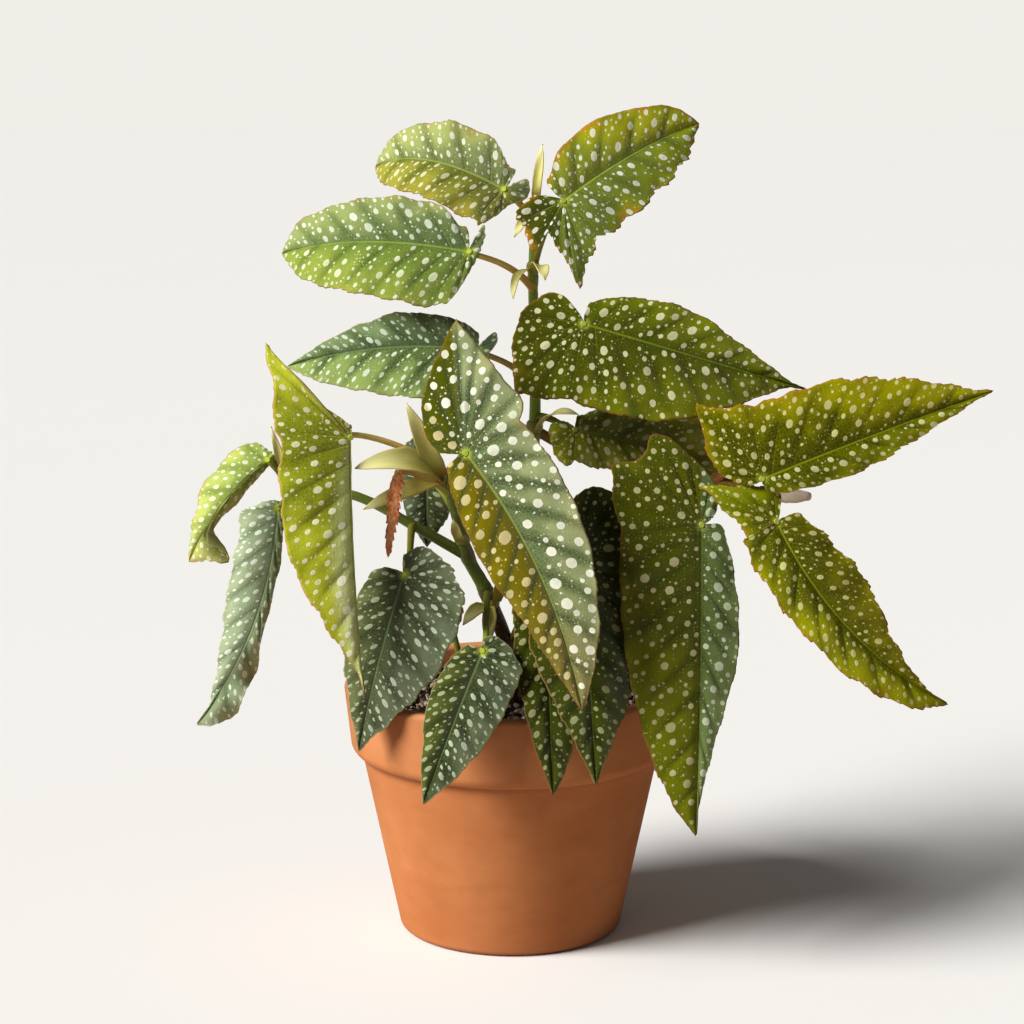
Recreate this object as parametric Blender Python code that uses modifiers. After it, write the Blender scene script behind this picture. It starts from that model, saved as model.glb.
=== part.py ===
# Potted cane begonia: a terracotta pot of soil, two canes with a side branch each, and their wing leaves.
# The model is in metres, +Z up, and the leaves face -Y. The origin is under the middle of the whole plant's
# box, where the pot's foot is flat, and the numbers below are measured from the pot's own axis.

import math

import bmesh
import bpy
from mathutils import Vector, noise

PARTS = "potted_cane_begonia"
CUTTERS = "cutters"
MM = 0.001
MERGE = 0.00001
GAP = 0.3
CANE_GAP = 0.345

# The pot, in millimetres, and where its axis stands from the origin
POT_X = -33.0
POT_HEIGHT = 114.0
FOOT_RADIUS = 50.6
FOOT_EDGE = 3.0
COLLAR_HEIGHT = 32.5
COLLAR_TOP_RADIUS = 75.0
COLLAR_FOOT_RADIUS = 72.2
COLLAR_EDGE = 6.0
BODY_TOP_RADIUS = 67.0
LIP_EDGE = 2.5
WALL = 7.0
FLOOR = 8.0
DRAIN_RADIUS = 6.0
POT_SIDES = 48

# The soil, in millimetres
SOIL_TOP = 105.0
SOIL_GAP = 0.6
SOIL_RELIEF = 2.6
SOIL_LUMP = 11.0
SOIL_SIDES = 32
SOIL_RINGS = 8

# Canes and leaf stalks, in millimetres, and the swelling of a cane at its joints as a share of its radius
CANE_RESOLUTION = 2
RING_SPACING = 8.5
JOINT_SWELL = 0.22
JOINT_REACH = 4.5
STALK_RESOLUTION = 1
STALK_RADIUS = 1.6
STALK_TAPER = 0.25
STALK_RISE = 0.45
STALK_SPACING = 6.5

# Leaf blades, in millimetres: the depth of the teeth, the droop and the lean are shares of the half width
BLADE = 0.8
TOOTH_PITCH = 9.5
TOOTH_DEPTH = 0.055
EDGE_WAVE = 1.1
WAVE_LENGTH = 24.0
EDGE_DROOP = 0.09
WING_LEAN = 0.16

# Rows of a leaf's mesh round the wing, from its point to the notch, and round the small side
WING_ROWS = 3
HEEL_ROWS = 5
SMALL_ROWS = 2
COLUMNS = 2

# Bracts and the collars that carry them, in millimetres
BRACT_BLADE = 0.75
BRACT_ROWS = 5
COLLAR_WALL = 1.8
COLLAR_LENGTH = 5.0

# The colour and the roughness of each finish
FINISHES = {
    "terracotta": ((0.62, 0.27, 0.13), 0.85),
    "potting_soil": ((0.06, 0.04, 0.03), 0.95),
    "cane_bark": ((0.16, 0.2, 0.05), 0.45),
    "green_leaf": ((0.1, 0.2, 0.03), 0.35),
    "fresh_leaf": ((0.17, 0.22, 0.01), 0.35),
    "olive_leaf": ((0.15, 0.13, 0.01), 0.35),
    "teal_leaf": ((0.045, 0.1, 0.045), 0.35),
    "deep_leaf": ((0.03, 0.08, 0.012), 0.35),
    "young_leaf": ((0.7, 0.16, 0.06), 0.7),
    "bract": ((0.5, 0.55, 0.2), 0.5),
    "bud": ((0.75, 0.4, 0.33), 0.5),
}

# Each cane: the points of its axis, the radius at its foot and at its tip, and the heights of its joints
CANES = {
    "cane_tall": dict(
        axis=[(3, 11, 78), (4, 11, 121), (8, 11, 180), (11, 10, 237), (10, 8, 298), (12, 6, 330)],
        radius=(3.6, 1.9), joints=[128, 172, 226, 262, 295],
    ),
    "branch_right": dict(
        axis=[(11, 11, 226), (34, 17, 213), (62, 14, 206), (90, -2, 206), (112, -14, 202)],
        radius=(2.4, 1.7), joints=[],
    ),
    "cane_low": dict(
        axis=[(-1, -6, 78), (0, -6, 122), (-10, -12, 155), (-19, -16, 174), (-24, -22, 196),
              (-29, -27, 215)],
        radius=(3.8, 2.5), joints=[131, 157, 175],
    ),
    "branch_left": dict(
        axis=[(-19, -16, 174), (-43, -21, 189), (-68, -26, 203), (-98, -30, 208)],
        radius=(2.5, 1.8), joints=[],
    ),
}

# Each leaf: where the stalk meets the blade, the tip, the way the blade faces, and which half is the wing.
# Then the half widths, and the wing's shoulder, point and heel as (reach, degrees from the midrib).
# Then how far the midrib bows up and sweeps to the wing, the fold of the halves in degrees, how full the
# outline is near the tip, the finish, and the place on the cane where the stalk starts. Two leaves open at
# the tip, where tip_edge gives the small side as (share of the midrib, reach).
LEAVES = {
    "leaf_top_right": dict(
        base=(23, -16, 331), tip=(83, 8, 363), faces=(0.15, -1.0, 0.35), wing=-1, wide=24.8, narrow=21.3,
        shoulder=[], point=(39.7, 117), heel=[(18.5, 147), (26.3, 160), (22.3, 203), (15, 226)],
        bow=5, sweep=-2, fold=4, full=0.5, full_narrow=0.8, skin="green_leaf", stalk=(10, 8, 299),
    ),
    "leaf_top_left": dict(
        base=(-3, -4, 335), tip=(-61, 30, 342), faces=(-0.1, -1.0, 0.45), wing=1, wide=19.5, narrow=20.5,
        shoulder=[], point=(21, 84), heel=[(9, 132), (11, 185), (13, 208), (12, 231)],
        bow=13, sweep=-3, fold=2, full=0.8, full_narrow=0.95, square=0.5, skin="green_leaf",
        stalk=(11, 6, 318),
    ),
    "leaf_upper_left": dict(
        base=(-18, -16, 309), tip=(-102, 14, 305), faces=(0.0, -1.0, 0.35), wing=1, wide=27.5, narrow=21,
        shoulder=[], point=(26, 77), heel=[(15, 90), (6, 130), (7, 203), (15, 250)],
        bow=12, sweep=-2, fold=3, full=0.65, full_narrow=1.0, skin="green_leaf", stalk=(10, 8, 290),
    ),
    "leaf_mid_left": dict(
        base=(-15, -14, 266), tip=(-99, -4, 257), faces=(0.0, -1.0, 0.5), wing=1, wide=25, narrow=16,
        shoulder=[], point=(21, 80), heel=[(10, 105), (7, 150), (10, 205), (12, 230)],
        bow=5, sweep=-3, fold=3, full=0.36, full_narrow=0.0, skin="teal_leaf", stalk=(11, 9, 245),
    ),
    "leaf_upper_right": dict(
        base=(32, -20, 278), tip=(129, -26, 250), faces=(0.0, -1.0, 0.3), wing=-1, wide=35, narrow=19.6,
        shoulder=[(36, 92)], point=(43, 117), heel=[(34, 145), (29, 175), (23, 200), (16, 216)],
        bow=6, sweep=1, fold=3, full=-0.3, full_narrow=-0.2, skin="green_leaf", stalk=(10, 8, 262),
    ),
    "leaf_centre": dict(
        base=(-19, -62, 228), tip=(30, -100, 125), faces=(-0.12, -1.0, 0.25), wing=1, wide=28.5, narrow=20,
        shoulder=[(33.5, 92), (37.3, 116)], point=(62, 147), heel=[(37.5, 171), (25, 194), (14, 222)],
        bow=5, sweep=8, fold=5, full=0.2, skin="olive_leaf", stalk=(-27, -25, 206),
    ),
    "leaf_left_tall": dict(
        base=(-68, -52, 233), tip=(-62, -74, 124), faces=(0.4, -1.0, 0.2), wing=-1, wide=30.8, narrow=17,
        shoulder=[(33.5, 98), (38.5, 121)], point=(55.5, 139), heel=[(30, 136), (16, 141), (6.5, 180)],
        bow=3, sweep=2.5, full=-0.33, full_narrow=0.0, fold=-6, back_fold=-72, skin="fresh_leaf",
        stalk=(-29, -27, 213),
    ),
    "leaf_far_left_upper": dict(
        base=(-105, -38, 221), tip=(-139, -48, 178), faces=(-0.3, -1.0, 0.4), wing=-1, wide=16, narrow=6.5,
        shoulder=[], point=(12, 110), heel=[(6, 150), (8, 200), (13, 235)],
        tip_edge=[(0.93, 7.5), (0.86, 15), (0.825, 3.5), (0.7, 4.5)],
        bow=7, sweep=1, fold=-8, back_fold=-70, skin="fresh_leaf", stalk=(-97, -30, 208),
    ),
    "leaf_far_left_lower": dict(
        base=(-102, -24, 197), tip=(-138, -40, 103), faces=(-0.2, -1.0, 0.15), wing=-1, wide=18, narrow=5,
        shoulder=[], point=(14.5, 92), heel=[(10.5, 100), (6.5, 125), (4.5, 170), (5, 215)],
        tip_edge=[(0.94, 8), (0.82, 11.5), (0.66, 9), (0.52, 6)],
        bow=4, sweep=-9, fold=0, back_fold=-35, full=-0.33, skin="teal_leaf", stalk=(-90, -28, 206),
    ),
    "leaf_low_left": dict(
        base=(-46, -45, 172), tip=(-66, -58, 96), faces=(-0.35, -1.0, 0.2), wing=1, wide=31.5, narrow=19.5,
        shoulder=[(30, 87)], point=(22.5, 113), heel=[(17.5, 148), (13, 178), (10, 200)],
        bow=4, sweep=0, fold=4, square=0.85, skin="teal_leaf", stalk=(-43, -21, 189),
    ),
    "leaf_low_centre": dict(
        base=(-12, -70, 144), tip=(-37, -94, 83), faces=(-0.1, -1.0, 0.3), wing=1, wide=20, narrow=14.2,
        shoulder=[(19, 88)], point=(13, 116), heel=[(10, 150), (9, 172), (6, 195)],
        bow=3, sweep=0, fold=3, full=0.15, skin="teal_leaf", stalk=(-10, -12, 156),
    ),
    "leaf_low_middle": dict(
        base=(15, -48, 165), tip=(18, -85, 84), faces=(0.0, -1.0, 0.3), wing=-1, wide=15, narrow=16,
        shoulder=[(16, 90)], point=(15, 125), heel=[(12, 160), (8, 195)],
        bow=8, sweep=0, fold=3, full=0.1, full_narrow=0.5, skin="deep_leaf", stalk=(0, -6, 131),
    ),
    "leaf_low_right": dict(
        base=(30, -44, 183), tip=(36, -97, 92), faces=(0.1, -1.0, 0.3), wing=1, wide=26, narrow=25,
        shoulder=[(26, 95)], point=(34, 138), heel=[(34, 158), (29, 176), (20, 195), (10, 222)],
        bow=4, sweep=0, fold=3, skin="deep_leaf", stalk=(7, 11, 172),
    ),
    "leaf_right_hanging": dict(
        base=(82, -52, 195), tip=(79, -87, 67), faces=(0.12, -1.0, 0.15), wing=-1, wide=36, narrow=16.5,
        shoulder=[(38, 96)], point=(47.5, 123),
        heel=[(39.5, 139), (45.5, 153), (35, 168), (20, 198), (10, 225)],
        bow=4, sweep=0, fold=4, full=0.33, full_narrow=-0.55, skin="deep_leaf", stalk=(84, 2, 206),
    ),
    "leaf_right_upper": dict(
        base=(108, -50, 215), tip=(205, -56, 254), faces=(0.0, -1.0, 0.1), wing=1, wide=31, narrow=13,
        shoulder=[(35, 84), (37, 101)], point=(45, 109), heel=[(24, 141), (15, 160), (9, 185)],
        bow=4, sweep=1, fold=3, skin="olive_leaf", stalk=(92, -3, 206),
    ),
    "leaf_right_lower": dict(
        base=(114, -55, 197), tip=(188, -68, 120), faces=(0.4, -1.0, 0.3), wing=-1, wide=19.5, narrow=22,
        shoulder=[(16, 92)], point=(37.5, 138), heel=[(22, 165), (19, 188), (14, 212)],
        bow=6, sweep=12, fold=3, full=0.75, full_narrow=-0.5, skin="fresh_leaf", stalk=(104, -10, 204),
    ),
    "leaf_inner_centre": dict(
        base=(29, -6, 229), tip=(84, 2, 212), faces=(-0.1, -1.0, 0.6), wing=-1, wide=16, narrow=14,
        shoulder=[(18, 92)], point=(16, 120), heel=[(13, 150), (12, 180), (8, 205)],
        bow=4, sweep=0, fold=3, skin="deep_leaf", stalk=(11, 10, 232),
    ),
    "leaf_inner_right": dict(
        base=(58, 26, 236), tip=(96, 22, 196), faces=(0.1, -1.0, 0.4), wing=1, wide=21, narrow=18,
        shoulder=[(20, 92)], point=(20, 125), heel=[(16, 155), (11, 190)],
        bow=4, sweep=0, fold=3, skin="deep_leaf", stalk=(62, 14, 206),
    ),
    "leaf_behind_bracts": dict(
        base=(-37, -9, 208), tip=(-37, -13, 177), faces=(0.0, -1.0, 0.1), wing=-1, wide=12, narrow=12,
        shoulder=[(13.5, 100)], point=(17.6, 130), heel=[(19, 152), (24.4, 176), (24, 190), (15, 205)],
        bow=2, sweep=0, fold=3, skin="deep_leaf", stalk=(-24, -21, 194),
    ),
    "leaf_basal": dict(
        base=(-30, -22, 151), tip=(-45, -27, 127), faces=(-0.1, -1.0, 0.2), wing=1, wide=10, narrow=8,
        shoulder=[(10, 95)], point=(10, 130), heel=[(8, 160), (6, 195)],
        bow=2, sweep=0, fold=3, skin="green_leaf", stalk=(-17, -14, 98),
    ),
    "young_leaf": dict(
        base=(-49, -42, 215), tip=(-53, -44, 179), faces=(-0.1, -1.0, 0.1), wing=1, wide=3.9, narrow=3.2,
        shoulder=[(3.2, 100)], point=(3.2, 130), heel=[(3.0, 160), (2.4, 200)],
        bow=1, sweep=0, fold=6, full=0.5, skin="young_leaf", stalk=(-26, -24, 203),
    ),
    "leaf_back_high": dict(
        base=(36, 34, 268), tip=(66, 88, 238), faces=(0.2, 0.6, 1.0), wing=1, wide=24, narrow=19,
        shoulder=[(25, 95)], point=(34, 130), heel=[(24, 160), (16, 195), (10, 220)],
        bow=8, sweep=2, fold=6, skin="green_leaf", stalk=(10, 9, 258),
    ),
    "leaf_back_middle": dict(
        base=(-2, 44, 196), tip=(-4, 94, 132), faces=(0.0, 1.0, 0.7), wing=-1, wide=21, narrow=18,
        shoulder=[(22, 95)], point=(27, 135), heel=[(21, 160), (15, 195), (9, 220)],
        bow=8, sweep=2, fold=6, skin="deep_leaf", stalk=(10, 10, 196),
    ),
    "leaf_back_right": dict(
        base=(68, 48, 212), tip=(84, 92, 142), faces=(0.3, 1.0, 0.6), wing=1, wide=23, narrow=17,
        shoulder=[(24, 95)], point=(32, 140), heel=[(24, 165), (15, 195), (9, 220)],
        bow=8, sweep=2, fold=6, skin="green_leaf", stalk=(46, 16, 210),
    ),
    "leaf_back_low": dict(
        base=(24, 48, 160), tip=(44, 100, 96), faces=(0.3, 1.0, 0.6), wing=-1, wide=21, narrow=16,
        shoulder=[(22, 95)], point=(28, 140), heel=[(20, 165), (13, 195), (8, 220)],
        bow=7, sweep=2, fold=5, skin="teal_leaf", stalk=(5, 11, 128),
    ),
}

# Each cluster of bracts: the cane and the place of its collar, and for each bract its tip, its half width,
# the way it faces and how far it arches
BRACTS = {
    "bract_spike": dict(cane="cane_tall", at=(12, 6, 327), blades=[
        dict(tip=(14, 5, 354), half=2.9, faces=(-0.4, -1.0, 0.0), arch=1),
        dict(tip=(1.5, -6, 314), half=3.2, faces=(-0.3, -1.0, 0.1), arch=2),
    ]),
    "bracts_upper": dict(cane="cane_tall", at=(10, 8, 300), blades=[
        dict(tip=(1, -12, 288), half=3.6, faces=(-0.6, -0.6, 0.7), arch=4),
        dict(tip=(15, -14, 296), half=4.6, faces=(0.3, -0.9, 0.5), arch=4),
    ]),
    "bracts_middle": dict(cane="cane_tall", at=(11, 10, 228), blades=[
        dict(tip=(30, -14, 237), half=4.5, faces=(0.2, -0.6, 0.9), arch=4),
    ]),
    "bracts_flower": dict(cane="cane_low", at=(-28, -26, 212), blades=[
        dict(tip=(-66.5, -52, 220), half=8.8, faces=(0.1, -0.8, 0.8), arch=9),
        dict(tip=(-44.5, -45, 247), half=5.4, faces=(-0.1, -1.0, 0.3), arch=3),
        dict(tip=(-64, -37, 199), half=5.0, faces=(0.0, -1.0, 0.4), arch=4),
    ]),
    "bract_joint": dict(cane="cane_low", at=(-21, -18, 183), blades=[
        dict(tip=(-25, -28, 193), half=3.2, faces=(-0.3, -1.0, 0.2), arch=1),
    ]),
    "bracts_low": dict(cane="cane_low", at=(-9, -12, 152), blades=[
        dict(tip=(-21, -30, 146), half=4.6, faces=(-0.3, -1.0, 0.5), arch=3),
        dict(tip=(-10, -32, 137), half=4.2, faces=(0.1, -1.0, 0.4), arch=3),
        dict(tip=(-4, -22, 169), half=3.6, faces=(0.3, -1.0, 0.2), arch=1),
    ]),
    "bract_far_left": dict(cane="branch_left", at=(-97, -30, 208), blades=[
        dict(tip=(-103, -40, 236), half=2.4, faces=(-0.2, -1.0, 0.2), arch=1),
    ]),
    "bud": dict(cane="branch_right", at=(112, -14, 202), skin="bud", blades=[
        dict(tip=(131, -29, 203), half=4.5, faces=(0.2, -1.0, 0.3), arch=2),
        dict(tip=(130, -27, 201), half=4.5, faces=(0.2, -0.4, -1.0), arch=2),
    ]),
}


def clear_scene():
    for obj in list(bpy.data.objects):
        bpy.data.objects.remove(obj, do_unlink=True)
    for name in (PARTS, CUTTERS):
        bpy.context.scene.collection.children.link(bpy.data.collections.new(name))


def finish(name):
    """The material of this name, made at its first use."""
    if name in bpy.data.materials:
        return bpy.data.materials[name]
    colour, roughness = FINISHES[name]
    made = bpy.data.materials.new(name)
    made.use_nodes = True
    shader = made.node_tree.nodes["Principled BSDF"]
    shader.inputs["Base Color"].default_value = (*colour, 1.0)
    shader.inputs["Roughness"].default_value = roughness
    shader.inputs["Metallic"].default_value = 0.0
    return made


def placed(name, mesh, skin=None):
    """A new object, among the parts if it has a finish and among the cutters if it has none."""
    obj = bpy.data.objects.new(name, mesh)
    bpy.data.collections[PARTS if skin else CUTTERS].objects.link(obj)
    if skin:
        reshape(obj, mesh, skin)
    else:
        obj.hide_render = True
        obj.display_type = "WIRE"
    return obj


def reshape(obj, mesh, skin):
    """Gives the object another mesh, with one finish all over."""
    obj.data = mesh
    mesh.materials.clear()
    mesh.materials.append(finish(skin))


def evaluated_mesh(obj):
    """The object's mesh as the viewport evaluates it, welded, in world space."""
    bpy.context.view_layer.update()
    graph = bpy.context.evaluated_depsgraph_get()
    mesh = bpy.data.meshes.new_from_object(obj.evaluated_get(graph))
    mesh.transform(obj.matrix_world)
    shape = bmesh.new()
    shape.from_mesh(mesh)
    bmesh.ops.remove_doubles(shape, verts=shape.verts, dist=MERGE)
    shape.to_mesh(mesh)
    shape.free()
    return mesh


def applied(obj):
    """Applies the object's modifiers and keeps its finish."""
    mesh = evaluated_mesh(obj)
    obj.modifiers.clear()
    reshape(obj, mesh, obj.data.materials[0].name)


def combined(obj, others, operation):
    """Applies one Boolean of the object with each of the others in turn, by MANIFOLD where EXACT fails."""
    for other in others:
        boolean = obj.modifiers.new(operation.lower(), "BOOLEAN")
        boolean.operation = operation
        boolean.object = other
        if not evaluated_mesh(obj).polygons:
            boolean.solver = "MANIFOLD"
        applied(obj)


def removed(objects):
    for obj in objects:
        bpy.data.objects.remove(obj, do_unlink=True)


def smooth_path(points, spacing):
    """Points about this far apart on a Catmull-Rom curve through the given ones."""
    ends = [points[0] * 2 - points[1], *points, points[-1] * 2 - points[-2]]
    path = []
    for before, start, end, after in zip(ends, ends[1:], ends[2:], ends[3:]):
        steps = max(1, round((end - start).length / spacing))
        for step in range(steps):
            f = step / steps
            path.append(
                0.5 * (2 * start + (end - before) * f
                       + (2 * before - 5 * start + 4 * end - after) * f ** 2
                       + (3 * start - before - 3 * end + after) * f ** 3)
            )
    return [*path, points[-1].copy()]


def tube(name, path, radii, resolution, skin=None):
    """A round stem of changing radius along a path, as a closed mesh."""
    curve = bpy.data.curves.new(name, "CURVE")
    curve.dimensions = "3D"
    curve.bevel_depth = MM
    curve.bevel_resolution = resolution
    curve.use_fill_caps = True
    spline = curve.splines.new("POLY")
    spline.points.add(len(path) - 1)
    for point, place, radius in zip(spline.points, path, radii):
        point.co = (*place, 1.0)
        point.radius = radius
    guide = bpy.data.objects.new(name + "_guide", curve)
    bpy.context.scene.collection.objects.link(guide)
    mesh = evaluated_mesh(guide)
    removed([guide])
    return placed(name, mesh, skin)


def turned(name, profile, sides, skin):
    """A profile of (radius, height) in millimetres, turned about Z. It runs down its outer side."""
    mesh = bpy.data.meshes.new(name)
    edges = [(i, i + 1) for i in range(len(profile) - 1)]
    mesh.from_pydata([(r * MM, 0, z * MM) for r, z in profile], edges, [])
    obj = placed(name, mesh, skin)
    screw = obj.modifiers.new("turn", "SCREW")
    screw.steps = screw.render_steps = sides
    screw.use_merge_vertices = True
    screw.merge_threshold = MERGE
    applied(obj)
    obj.data.shade_smooth()
    obj.data.set_sharp_from_angle(angle=math.radians(40))
    return obj


def rounded(corner, edge, start, end, steps=3):
    """Points of an arc of this radius centred on a point, between two angles in degrees."""
    return [
        (corner[0] + edge * math.cos(math.radians(a)), corner[1] + edge * math.sin(math.radians(a)))
        for a in (start + (end - start) * i / steps for i in range(steps + 1))
    ]


def make_pot():
    inner_top = COLLAR_TOP_RADIUS - WALL
    inner_foot = FOOT_RADIUS - WALL
    collar_foot = POT_HEIGHT - COLLAR_HEIGHT
    profile = [
        *rounded((inner_top + LIP_EDGE, POT_HEIGHT - LIP_EDGE), LIP_EDGE, 180, 90, 2),
        *rounded((COLLAR_TOP_RADIUS - LIP_EDGE, POT_HEIGHT - LIP_EDGE), LIP_EDGE, 90, 0),
        *rounded((COLLAR_FOOT_RADIUS - COLLAR_EDGE, collar_foot + COLLAR_EDGE), COLLAR_EDGE, 0, -75),
        (BODY_TOP_RADIUS, collar_foot - 0.4),
        *rounded((FOOT_RADIUS - FOOT_EDGE, FOOT_EDGE), FOOT_EDGE, -8, -90),
        (DRAIN_RADIUS, 0),
        (DRAIN_RADIUS, FLOOR),
        (inner_foot - FOOT_EDGE, FLOOR),
        (inner_foot + 1, FLOOR + FOOT_EDGE),
    ]
    turned("pot", [*profile, profile[0]], POT_SIDES, "terracotta")


def inner_radius(height):
    """The radius of the pot's inner wall at a height, in millimetres."""
    low, high = FLOOR + FOOT_EDGE, POT_HEIGHT - LIP_EDGE
    foot, top = FOOT_RADIUS - WALL + 1, COLLAR_TOP_RADIUS - WALL
    return foot + (top - foot) * (height - low) / (high - low)


def stands_in_soil(cutter):
    return min(vertex.co.z for vertex in cutter.data.vertices) < SOIL_TOP * MM


def make_soil(stems):
    """A plug of soil with a lumpy top and a plain hole for each stem."""
    top, foot = inner_radius(SOIL_TOP) - SOIL_GAP, FOOT_RADIUS - WALL - FOOT_EDGE - GAP
    wall = inner_radius(FLOOR + FOOT_EDGE) - SOIL_GAP
    rings = [(top * i / SOIL_RINGS, SOIL_TOP) for i in range(SOIL_RINGS)]
    profile = [*rings, (top, SOIL_TOP), (wall, FLOOR + FOOT_EDGE), (foot, FLOOR + GAP), (0, FLOOR + GAP)]
    soil = turned("soil", profile, SOIL_SIDES, "potting_soil")
    for vertex in soil.data.vertices:
        x, y, z = vertex.co / MM
        if z > SOIL_TOP - 1 and math.hypot(x, y) < top - 1:
            spot = Vector((x, y, 0)) / SOIL_LUMP
            vertex.co.z += SOIL_RELIEF * (noise.noise(spot) + 0.6 * noise.noise(spot * 2.3)) * MM
    combined(soil, stems, "DIFFERENCE")


def cane_path(name):
    """A cane's points, and the radius at each in millimetres, thicker at its joints."""
    cane = CANES[name]
    path = smooth_path([Vector(p) * MM for p in cane["axis"]], RING_SPACING * MM)
    foot, tip = cane["radius"]
    radii = []
    for i, place in enumerate(path):
        plain = foot + (tip - foot) * i / (len(path) - 1)
        near = min((abs(place.z / MM - z) for z in cane["joints"]), default=JOINT_REACH)
        radii.append(plain * (1 + JOINT_SWELL * max(0.0, 1 - near / JOINT_REACH)))
    return path, radii


def make_canes():
    """Each cane with its side branch fused in, and a wider copy of each that cuts room for it elsewhere."""
    cutters = []
    for cane, branch in (("cane_tall", "branch_right"), ("cane_low", "branch_left")):
        stems = []
        for name in (cane, branch):
            path, radii = cane_path(name)
            stems.append(tube(name, path, radii, CANE_RESOLUTION, "cane_bark"))
            cutters.append(tube(name + "_room", path, [r + CANE_GAP for r in radii], CANE_RESOLUTION))
        combined(stems[0], stems[1:], "UNION")
        removed(stems[1:])
    return cutters


def polar(reach, degrees):
    """A point of the flat blade: along the midrib, and out to the wing's side."""
    return Vector((reach * math.cos(math.radians(degrees)), reach * math.sin(math.radians(degrees))))


def spread(points, count):
    """Points at even steps of a smooth curve through the given ones: count steps, both ends included."""
    flat = smooth_path([p.to_3d() for p in points], 0.6)
    lengths = [0.0]
    for a, b in zip(flat, flat[1:]):
        lengths.append(lengths[-1] + (b - a).length)
    found, at = [], 0
    for i in range(count + 1):
        wanted = lengths[-1] * i / count
        while at < len(flat) - 2 and lengths[at + 1] < wanted:
            at += 1
        share = (wanted - lengths[at]) / max(1e-9, lengths[at + 1] - lengths[at])
        found.append(flat[at].lerp(flat[at + 1], min(1.0, share)).to_2d())
    return found


def midrib_curve(leaf):
    """A function from a share of the midrib to its place and frame, and the midrib's length in mm."""
    base, tip, facing = (Vector(leaf[k]) for k in ("base", "tip", "faces"))
    chord = (tip - base).normalized()
    up = (facing - chord * facing.dot(chord)).normalized()
    out = up.cross(chord) * leaf["wing"]
    middle = (base + tip) / 2 + up * leaf["bow"] * 2 + out * leaf["sweep"] * 2

    def at(share):
        t = max(0.0, min(1.0, share))
        run = (2 * (1 - t) * (middle - base) + 2 * t * (tip - middle)).normalized()
        place = (1 - t) ** 2 * base + 2 * t * (1 - t) * middle + t ** 2 * tip
        normal = (up - run * up.dot(run)).normalized()
        return place, run, normal, normal.cross(run) * leaf["wing"]

    steps = [at(i / 20)[0] for i in range(21)]
    return at, sum((b - a).length for a, b in zip(steps, steps[1:]))


def tip_shares(full):
    """The shares of a half's width that are left at 0.9 and at 0.72 of the midrib, more where it is full."""
    return max(0.07, 0.19 + 0.36 * full), 0.55 + 0.27 * full


def blade_rows(leaf, length):
    """Each row's inner and outer point on the flat leaf, from the notch round the wing to the tip and back
    down the small side. Rows ahead of the stalk start on the midrib, and the others at the stalk."""
    wide, narrow = leaf["wide"], leaf["narrow"]
    full = leaf.get("full", 0.0)
    count = max(6, round(length / TOOTH_PITCH))
    near, middle = tip_shares(full)
    near_small, middle_small = tip_shares(leaf.get("full_narrow", full))
    back = [*leaf["shoulder"], leaf["point"]]
    turn = min(88.0, back[0][1] - 10)
    wing_end = polar(wide * 0.98 / math.sin(math.radians(turn)), turn)
    wing_edge = [
        Vector((length, 0)),
        Vector((length * 0.9, wide * near)),
        Vector((length * 0.72, wide * middle)),
        Vector((length * 0.45, wide * 0.9)),
        Vector((length * 0.18, wide)),
        wing_end,
    ]
    notch_angle = leaf["heel"][-1][1] + 8
    small_turn = min(104.0, 360 - notch_angle - 16)
    small_end = polar(narrow * leaf.get("square", 0.62), 24 - small_turn)
    tip_edge = [
        Vector((length * 0.9, -narrow * near_small)),
        Vector((length * 0.72, -narrow * middle_small)),
    ]
    if "tip_edge" in leaf:
        tip_edge = [Vector((length * share, -reach)) for share, reach in leaf["tip_edge"]]
    small_edge = [
        Vector((length, 0)),
        *tip_edge,
        Vector((length * 0.42, -narrow)),
        Vector((length * 0.16, -narrow * 0.9)),
        small_end,
    ]
    notch = polar(leaf["heel"][-1][0] * 0.5, notch_angle)
    heel = spread([polar(*leaf["point"]), *(polar(*p) for p in leaf["heel"]), notch], HEEL_ROWS)
    wing = spread([wing_end, *(polar(*p) for p in back)], WING_ROWS)
    forward = spread(wing_edge, count)
    behind = spread(small_edge, count)
    small_notch = polar(narrow * 0.22, -small_turn)
    small = spread([small_end, polar(narrow * 0.5, 8 - small_turn), small_notch], SMALL_ROWS)
    origin = Vector((0, 0))
    ribs = [Vector((length * (1 - i / count) ** 1.1, 0)) for i in range(count + 1)]
    rows = [(origin, p) for p in reversed(heel)]
    rows += [(origin, p) for p in reversed(wing[1:-1])]
    rows += list(zip(reversed(ribs), reversed(forward)))
    rows += list(zip(ribs[1:], behind[1:]))
    rows += [(origin, p) for p in small[1:]]
    return rows


def blade_point(leaf, curve, length, flat):
    """Where a point of the flat leaf lies: its halves fold, and what is behind the stalk leans back."""
    along, out = flat
    place, run, normal, side = curve(along / length)
    if along < 0:
        place = place + run * along - normal * (along / length) ** 2 * length * WING_LEAN
    fold = math.radians(leaf["fold"] if out > 0 else leaf.get("back_fold", leaf["fold"]))
    if "tip_edge" in leaf:
        fold *= max(0.0, min(1.0, (0.86 - along / length) / 0.12))
    widest = leaf["wide"] if out > 0 else leaf["narrow"]
    edge = (abs(out) / widest) ** 2
    wave = EDGE_WAVE * math.sin(math.tau * along / WAVE_LENGTH + math.copysign(0.9, out))
    droop = edge * (widest * EDGE_DROOP - wave)
    return place + side * out * math.cos(fold) + normal * (abs(out) * math.sin(fold) - droop)


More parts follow.
